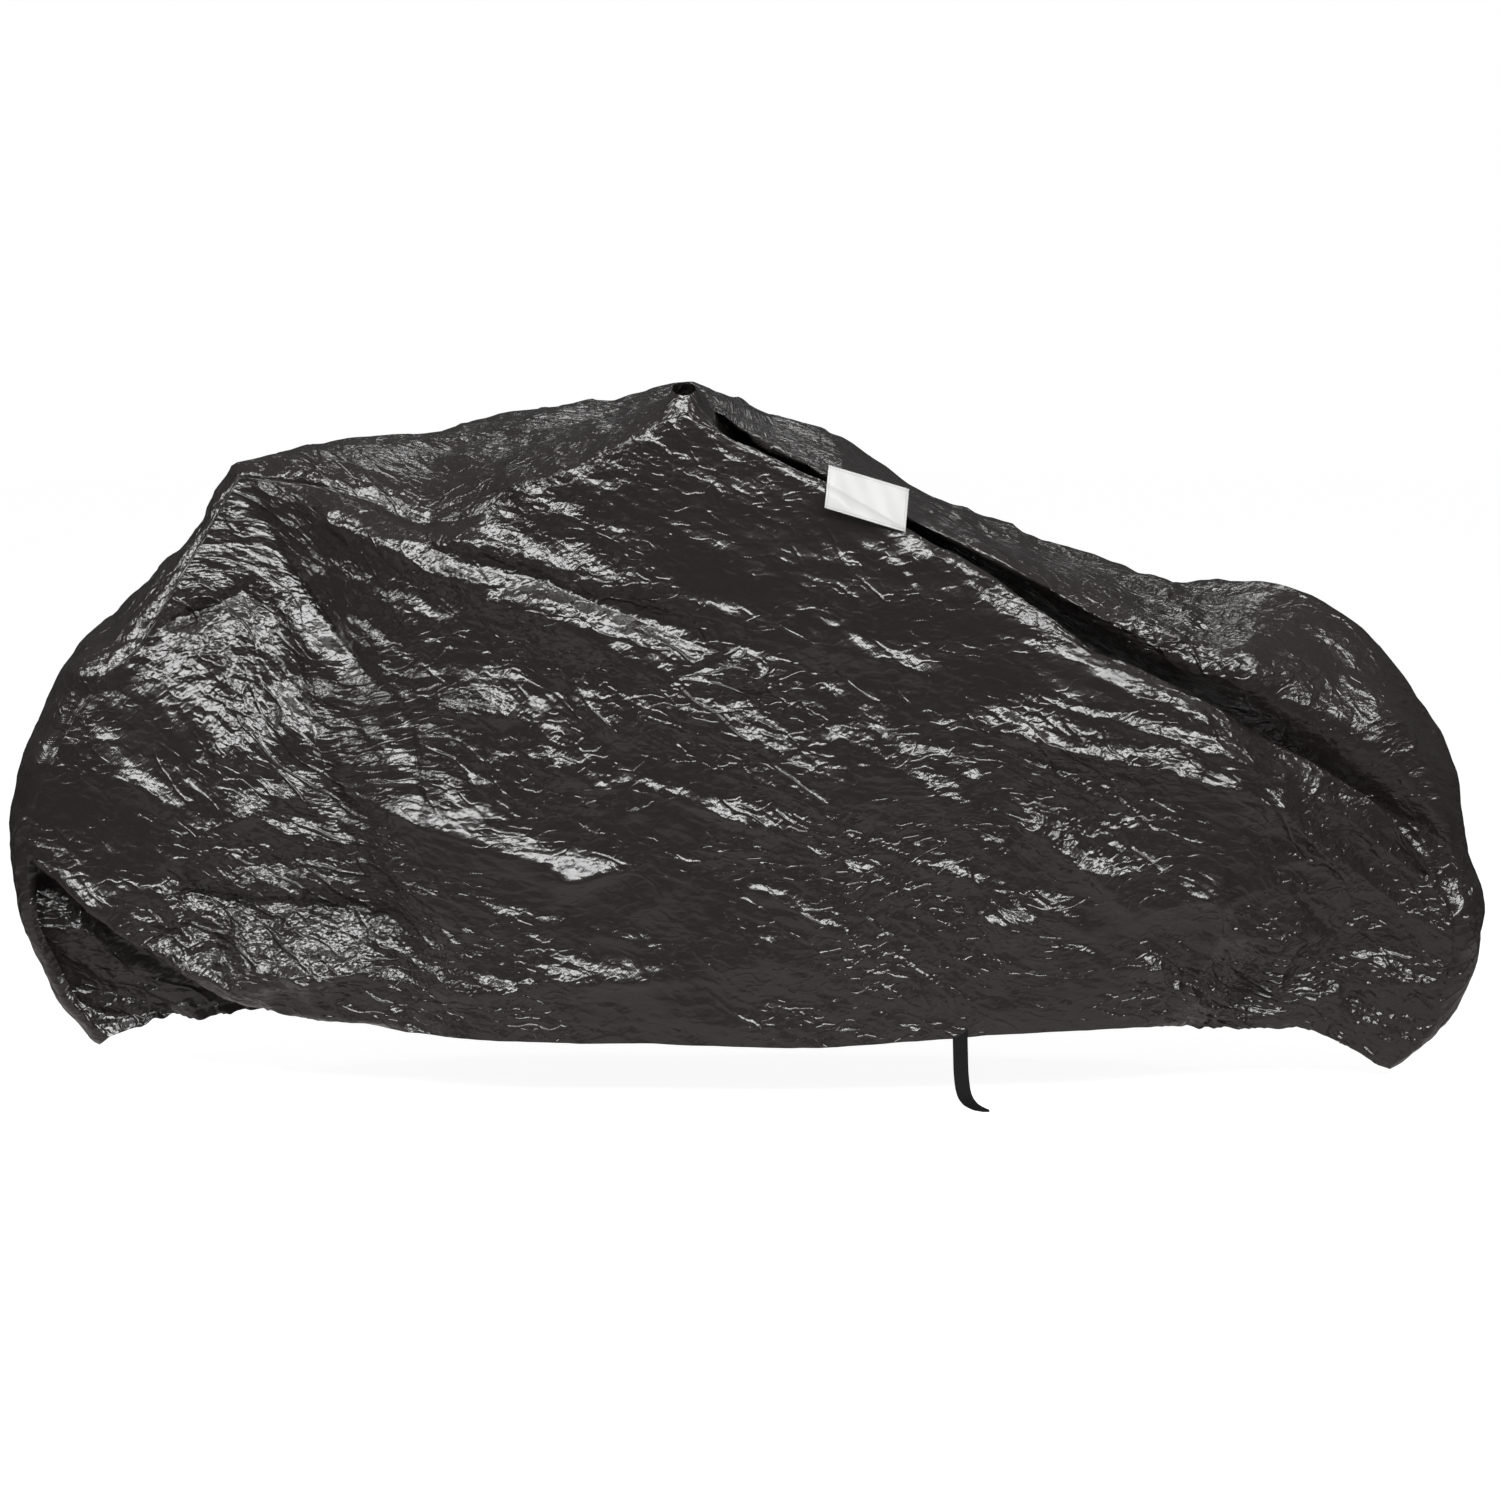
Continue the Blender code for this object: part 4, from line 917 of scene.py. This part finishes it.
# Under the edge of the flap the near side steps inwards, and most of all right behind that edge
def tuckUnderFlap(points, x, z, out, across):
    shape = coverShape
    (front, frontSoft), (narrow, narrowSoft) = shape["flapFront"], shape["flapOut"]
    above = z - np.interp(x, *np.array(shape["flapEdge"]).T)
    under = 0.5 - 0.5 * np.tanh(above / shape["flapSoftness"])
    back = np.clip((front - x) / frontSoft, 0, 1) * np.clip((out - narrow) / narrowSoft, 0, 1)
    back = back * (across < 1)
    deeper = shape["flapGap"] * np.exp(-(above / shape["flapGapReach"]) ** 2)
    inward = points[..., 1] + (shape["flapDepth"] + deeper) * under * back
    points[..., 1] = np.where(back > 0, np.minimum(inward, -shape["flapClear"]), points[..., 1])


# The whole cover: the plain sheet pushed along its normals by all of these, with flap and hole
def makeCoverSheet():
    at, across = gridSteps()
    base = sheetPoints(at, across)
    x, z, out = base[..., 0], base[..., 2] - groundZ, np.abs(base[..., 1])
    near, top, far = flatPlaces(base, across)
    amount = crumpleAmount(x, z)
    push = foldPush(x, z, out, across) + crumpleHeight(base, steepShare(x, z)) * amount
    push += hemGathers(base, near, at, across)
    points = base + gridNormals(base) * push[..., None]
    tuckUnderFlap(points, x, z, out, across)
    skip = openRoundHole(points, at, across)
    nearX, nearZ = np.where(across < 1, x, np.inf), np.where(across < 1, z, np.inf)
    pulledFlat = pulledPlaces(near, nearX, nearZ), turned(top, pullAngle), turned(far, pullAngle)
    row = across[:-1, :1, None, None]
    layers = {}
    for name, zones in (("clothMetres", (near, top, far)), ("pulledMetres", pulledFlat)):
        onNear, onTop, onFar = (cellCorners(zone) for zone in zones)
        layers[name] = np.where(row < 1, onNear, np.where(row < 3, onTop, onFar))[~skip]
    quads = cellCorners(np.arange(at.size).reshape(at.shape))[~skip]
    used, corners = np.unique(quads, return_inverse=True)
    sheet = quadPiece("coverSheet", points.reshape(-1, 3)[used], corners.reshape(-1, 4), layers)
    layer = sheet.data.attributes.new("crumpled", "FLOAT", "POINT")
    layer.data.foreach_set("value", amount.ravel()[used].astype(np.float32))
    return sheet


coverFinish = {
    "colour": (0.0120, 0.0096, 0.0090),
    "roughness": 0.30,
    "coat": 1.0,
    "coatRoughness": 0.10,
    "coatIor": 1.6,
    "specular": 0.5,
    # size of the plates, their slope, stretch along the pull, turn from it, offset
    "crinkles": (
        (0.042, 0.13, 2.2, 0, 3.3),
        (0.0155, 0.17, 1.7, 12, 7.7),
        (0.0060, 0.12, 1.3, 45, 9.2),
    ),
    # sharp raised lines: size of their windings, stretch, turn in degrees, half width, rise
    "creases": ((0.055, 2.4, -8, 0.0024, 0.0019), (0.024, 2.0, 25, 0.0013, 0.0010)),
    "creaseDetail": 1.5,
    "creaseOffset": 1.3,
    "creaseGaps": 2.6,  # the noise that leaves lines out is this much slower
    "creaseShown": (0.37, 0.50),  # lines fade in between these values of it
    "creaseSteep": 1.2,  # the noise's usual slope, which turns its value into a distance
    "tapePitch": 0.0022,  # width of one woven tape
    "tapeRise": 0.000050,
}


# The cloth's own flat place turned by an angle, squeezed that way, and moved
def turnedPlace(tree, place, size, stretch, degrees, offset):
    turned = addNode(
        tree, "ShaderNodeVectorRotate", {"rotation_type": "Z_AXIS"},
        {"Vector": place, "Angle": math.radians(-degrees)},
    ).outputs[0]
    squeeze = (1 / (size * stretch), 1 / size, 0)
    return vectorMaths(tree, "MULTIPLY_ADD", {0: turned, 1: squeeze, 2: (offset, 2 * offset, 0)})


# Crumpled plates: the slope of the difference of two squared distances to scattered seeds. It is
# the way from one nearest seed to the other, so it is the same all over a plate
def crinkleSlope(tree, place, size, slope, stretch, degrees, offset):
    seeds = [
        addNode(
            tree, "ShaderNodeTexVoronoi", {"voronoi_dimensions": "2D"},
            {"Vector": turnedPlace(tree, place, size, stretch, degrees, shift), "Scale": 1.0},
        ).outputs["Position"]
        for shift in (0.0, offset)
    ]
    way = vectorMaths(tree, "SUBTRACT", {0: seeds[1], 1: seeds[0]})
    steep = (2 * facetGain * slope / stretch, 2 * facetGain * slope, 0)
    moved = (-offset * steep[0], -2 * offset * steep[1], 0)
    sized = vectorMaths(tree, "MULTIPLY_ADD", {0: way, 1: steep, 2: moved})
    return addNode(
        tree, "ShaderNodeVectorRotate", {"rotation_type": "Z_AXIS"},
        {"Vector": sized, "Angle": math.radians(degrees)},
    ).outputs[0]


# Raised lines where a noise passes through its middle, of which a slower noise leaves many out
def creaseField(tree, place, size, stretch, degrees, half, rise):
    finish = coverFinish
    winding, slow = (
        addNode(tree, "ShaderNodeTexNoise", {"noise_dimensions": "2D"}, {
            "Vector": turnedPlace(tree, place, wide, stretch, degrees, finish["creaseOffset"]),
            "Scale": 1.0, "Detail": detail,
        }).outputs["Fac"]
        for wide, detail in ((size, finish["creaseDetail"]), (finish["creaseGaps"] * size, 0.0))
    )
    off = maths(tree, "SUBTRACT", winding, 0.5)
    gap = maths(tree, "MULTIPLY", off, finish["creaseSteep"] * size / half)
    line = maths(tree, "EXPONENT", maths(tree, "MULTIPLY", maths(tree, "POWER", gap, 2.0), -1.0))
    return maths(tree, "MULTIPLY", line, mapRange(tree, slow, *finish["creaseShown"], 0.0, rise))


# Tapes over and under each other: a sine across times a sine along
def weaveField(tree, place):
    turns = vectorMaths(tree, "SCALE", {0: place, "Scale": math.pi / coverFinish["tapePitch"]})
    parts = addNode(tree, "ShaderNodeSeparateXYZ", {}, {0: vectorMaths(tree, "SINE", {0: turns})})
    both = maths(tree, "MULTIPLY", parts.outputs[0], parts.outputs[1])
    return maths(tree, "MULTIPLY", both, coverFinish["tapeRise"])


# Black coated cloth under a clear gloss. The plates tilt its normal, the lines and tapes raise it
def coverMaterial():
    material, tree, shader = newMaterial("coatedWovenCloth")
    place, pulledPlace = (
        addNode(tree, "ShaderNodeUVMap", {"uv_map": name}).outputs[0]
        for name in ("clothMetres", "pulledMetres")
    )
    crumpled = addNode(tree, "ShaderNodeAttribute", {"attribute_name": "crumpled"}).outputs["Fac"]
    slopes = [crinkleSlope(tree, pulledPlace, *row) for row in coverFinish["crinkles"]]
    while len(slopes) > 1:
        slopes.append(vectorMaths(tree, "ADD", {0: slopes.pop(), 1: slopes.pop()}))
    slope = vectorMaths(tree, "SCALE", {0: slopes[0], "Scale": crumpled})
    tilted = vectorMaths(tree, "MULTIPLY_ADD", {0: slope, 1: (-0.5, -0.5, 0), 2: (0.5, 0.5, 1)})
    plates = addNode(
        tree, "ShaderNodeNormalMap", {"space": "TANGENT", "uv_map": "pulledMetres"}, {"Color": tilted}
    ).outputs[0]
    lines = [creaseField(tree, pulledPlace, *row) for row in coverFinish["creases"]]
    height = maths(tree, "MULTIPLY", maths(tree, "ADD", *lines), crumpled)
    height = maths(tree, "ADD", height, weaveField(tree, place))
    setInputs(shader, {
        "Base Color": (*coverFinish["colour"], 1),
        "Roughness": coverFinish["roughness"],
        "Specular IOR Level": coverFinish["specular"],
        "Coat Weight": coverFinish["coat"],
        "Coat Roughness": coverFinish["coatRoughness"],
        "Coat IOR": coverFinish["coatIor"],
    })
    addBump(tree, shader, height, {"Normal": plates}, ("Normal", "Coat Normal"))
    return material


coverSheet = makeCoverSheet()
coverSheet.data.materials.append(coverMaterial())
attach(coverSheet, "root")
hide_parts("cover_sheet")
print("cover sheet made:", len(coverSheet.data.polygons), "faces")

labelShape = {
    "length": 0.133,
    "height": 0.066,
    "rearX": 0.215,  # its lower corner at the rear
    "rearZ": 0.960,
    "fall": math.radians(17.0),  # its long edges fall this much to the front
    "skew": math.radians(6.0),  # its short edges lean this much to the front
    "lean": 0.42,  # how far it leans in for each metre above the shoulder
    "clearance": 0.0075,
    "thickness": 0.0008,
    "sections": 5,  # it lies within so many sections in front of the peak
    "samples": 200,
    "waves": ((0.0011, 3.0, 0.0, 0.4), (0.0006, 7.0, 2.0, 1.3)),  # depth, along, up, phase
    "cells": (80, 40),
    "seam": 0.0035,  # how far inside its edge it is sewn
    "stitch": 0.0026,
    "stitchHalf": 0.0005,  # half the width of a stitch
    "stitchSunk": 0.00025,
    "stitchTone": 0.72,
    "stitchCut": -0.5,  # no thread where the wave along the seam is lower than this
    "threads": 900.0,
    "threadRise": 0.00006,
    "colour": (0.39, 0.39, 0.38),
    "roughness": 0.5,
}


# A sheet of even thickness: the grid pushed out and in along its normals by half of it, closed by
# a rim all round. Its flat places are the grid's own
def closedSheet(name, points, flat, thickness, material):
    half = 0.5 * thickness * gridNormals(points)
    index = np.arange(points[..., 0].size).reshape(points.shape[:2])
    front = cellCorners(index).reshape(-1, 4)
    rim = np.concatenate([index[0, :], index[1:, -1], index[-1, -2::-1], index[-2:0:-1, 0]])
    after = np.roll(rim, -1)
    count = index.size
    faces = np.concatenate([
        front, front[:, ::-1] + count, np.stack([rim, rim + count, after + count, after], axis=1),
    ])
    both = np.concatenate([(points + half).reshape(-1, 3), (points - half).reshape(-1, 3)])
    places = np.concatenate([flat.reshape(-1, 2)] * 2)[faces]
    sheet = quadPiece(name, both, faces, {"clothMetres": places})
    sheet.data.materials.append(material)
    return sheet


# The near shoulder line in front of the peak: how far out and how high it is at these X, and the
# section there
def shoulderAt(x):
    at = coverShape["peakRow"] + np.linspace(0, labelShape["sections"], labelShape["samples"])
    line = sheetPoints(at, np.ones(at.shape))
    near = ribsOf(sectionTable(), np.interp(x, line[:, 0], at))[0]
    return np.interp(x, line[:, 0], -line[:, 1]), np.interp(x, line[:, 0], line[:, 2]), near


# The label: a slanting rectangle that follows the shoulder, leans in above it and waves a little
def makeLabel():
    shape = labelShape
    alongCells, upCells = shape["cells"]
    length, height = np.meshgrid(
        np.linspace(0, shape["length"], alongCells + 1), np.linspace(0, shape["height"], upCells + 1)
    )
    x = shape["rearX"] + length * math.cos(shape["fall"]) + height * math.sin(shape["skew"])
    z = shape["rearZ"] - length * math.sin(shape["fall"]) + height * math.cos(shape["skew"])
    shoulderOut, shoulderZ, near = shoulderAt(x)
    z = z + groundZ
    spread = edgeTurn(near, 0.0) - edgeTurn(near, np.clip(shoulderZ - z, 0, None))
    out = shoulderOut + spread - shape["lean"] * np.clip(z - shoulderZ, 0, None) + shape["clearance"]
    for depth, along, up, phase in shape["waves"]:
        turn = along * length / shape["length"] + up * height / shape["height"]
        out = out + depth * np.sin(math.pi * turn + phase)
    points = np.stack([x, -out, z], axis=-1)
    flat = np.stack([length, height], axis=-1)
    return closedSheet("labelPatch", points, flat, shape["thickness"], labelMaterial())


# White satin label cloth with a fine thread grain and a row of stitches pressed in along its edge
def labelMaterial():
    shape = labelShape
    material, tree, shader = newMaterial("whiteLabelCloth")
    place = addNode(tree, "ShaderNodeUVMap", {"uv_map": "clothMetres"}).outputs[0]
    parts = addNode(tree, "ShaderNodeSeparateXYZ", {}, {0: place})
    rows = []
    for axis, size, other in ((0, shape["length"], 1), (1, shape["height"], 0)):
        inside = maths(tree, "ABSOLUTE", maths(tree, "SUBTRACT", parts.outputs[axis], size / 2))
        off = maths(tree, "ABSOLUTE", maths(tree, "SUBTRACT", inside, size / 2 - shape["seam"]))
        line = maths(tree, "LESS_THAN", off, shape["stitchHalf"])
        turns = maths(tree, "MULTIPLY", parts.outputs[other], 2 * math.pi / shape["stitch"])
        dash = maths(tree, "GREATER_THAN", maths(tree, "SINE", turns), shape["stitchCut"])
        rows.append(maths(tree, "MULTIPLY", line, dash))
    stitches = maths(tree, "MAXIMUM", *rows)
    grain = addNode(
        tree, "ShaderNodeTexNoise", {"noise_dimensions": "2D"},
        {"Vector": place, "Scale": shape["threads"]},
    ).outputs["Fac"]
    sunk = maths(tree, "MULTIPLY", stitches, -shape["stitchSunk"])
    raised = maths(tree, "MULTIPLY", grain, shape["threadRise"])
    stitchColour = [shape["stitchTone"] * c for c in shape["colour"]]
    tone = addNode(
        tree, "ShaderNodeMix", {"data_type": "RGBA"},
        {0: stitches, 6: (*shape["colour"], 1), 7: (*stitchColour, 1)},
    ).outputs[2]
    tree.links.new(tone, shader.inputs["Base Color"])
    setInputs(shader, {"Roughness": shape["roughness"]})
    addBump(tree, shader, maths(tree, "ADD", sunk, raised))
    return material


tieShape = {
    "width": 0.024,
    "thickness": 0.0016,
    "tip": 0.45,  # share of the width left at its tip
    "cells": (24, 220),  # across and along
    "tipStart": 0.5,  # how many steps of the path before its end the tip begins
    "cup": 0.0012,  # its edges curl forward by this, where it hangs higher than the next value
    "cupLow": 0.02,
    "rib": 0.0017,
    "ribRise": 0.00025,
    "slant": 0.0006,  # how far a thread slants over a rib
    "threads": 1.4,  # threads along the webbing for each rib across it
    "threadRise": 0.00016,
    "colour": (0.007, 0.007, 0.0075),
    "roughness": 0.7,
    "specular": 0.12,
    # x, out and height above the ground of its middle, from inside the near hem to the ground
    "path": (
        (0.4385, 0.2050, 0.132),
        (0.4385, 0.2080, 0.104),
        (0.4388, 0.2170, 0.074),
        (0.4395, 0.2300, 0.042),
        (0.4430, 0.2480, 0.016),
        (0.4510, 0.2720, 0.0050),
        (0.4620, 0.2970, 0.0022),
        (0.4740, 0.3180, 0.0015),
    ),
}


# Flat webbing: a strip along its path, a shallow trough across, drawn in to a blunt tip
def makeTie():
    shape = tieShape
    path = np.array(shape["path"])
    last = len(path) - 1
    acrossCells, alongCells = shape["cells"]
    steps, side = np.meshgrid(
        np.linspace(0, last, alongCells + 1), np.linspace(-0.5, 0.5, acrossCells + 1)
    )
    line = np.stack([splineThrough(steps, values) for values in path.T], axis=-1)
    width = shape["width"] * np.interp(steps, (0, last - shape["tipStart"], last), (1, 1, shape["tip"]))
    cup = shape["cup"] * (2 * side) ** 2 * (line[..., 2] > shape["cupLow"])
    points = np.stack([line[..., 0] + side * width, -line[..., 1] - cup, line[..., 2] + groundZ], axis=-1)
    middle = points[acrossCells // 2]
    way = np.concatenate([[0], np.cumsum(np.linalg.norm(np.diff(middle, axis=0), axis=-1))])
    flat = np.stack([side * width, np.broadcast_to(way, side.shape)], axis=-1)
    return closedSheet("tieWebbing", points, flat, shape["thickness"], tieMaterial())


# Webbing: close ribs along it, each made of slanting threads
def tieMaterial():
    shape = tieShape
    material, tree, shader = newMaterial("blackWebbing")
    place = addNode(tree, "ShaderNodeUVMap", {"uv_map": "clothMetres"}).outputs[0]
    parts = addNode(tree, "ShaderNodeSeparateXYZ", {}, {0: place})

    def ridges(place, turn):
        return maths(tree, "ABSOLUTE", maths(tree, "SINE", maths(tree, "MULTIPLY", place, turn)))

    turn = math.pi / shape["rib"]
    ribs = ridges(parts.outputs[0], turn)
    slant = maths(tree, "ADD", parts.outputs[1], maths(tree, "MULTIPLY", ribs, shape["slant"]))
    raised = maths(tree, "MULTIPLY", ribs, shape["ribRise"])
    threads = maths(tree, "MULTIPLY", ridges(slant, turn * shape["threads"]), shape["threadRise"])
    setInputs(shader, {
        "Base Color": (*shape["colour"], 1),
        "Roughness": shape["roughness"],
        "Specular IOR Level": shape["specular"],
    })
    addBump(tree, shader, maths(tree, "ADD", raised, threads))
    return material


labelPatch = makeLabel()
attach(labelPatch, "root")
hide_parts("label_patch")
print("label made:", len(labelPatch.data.polygons), "faces")

tieWebbing = makeTie()
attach(tieWebbing, "root")
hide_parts("tie_webbing")
print("tie made:", len(tieWebbing.data.polygons), "faces")
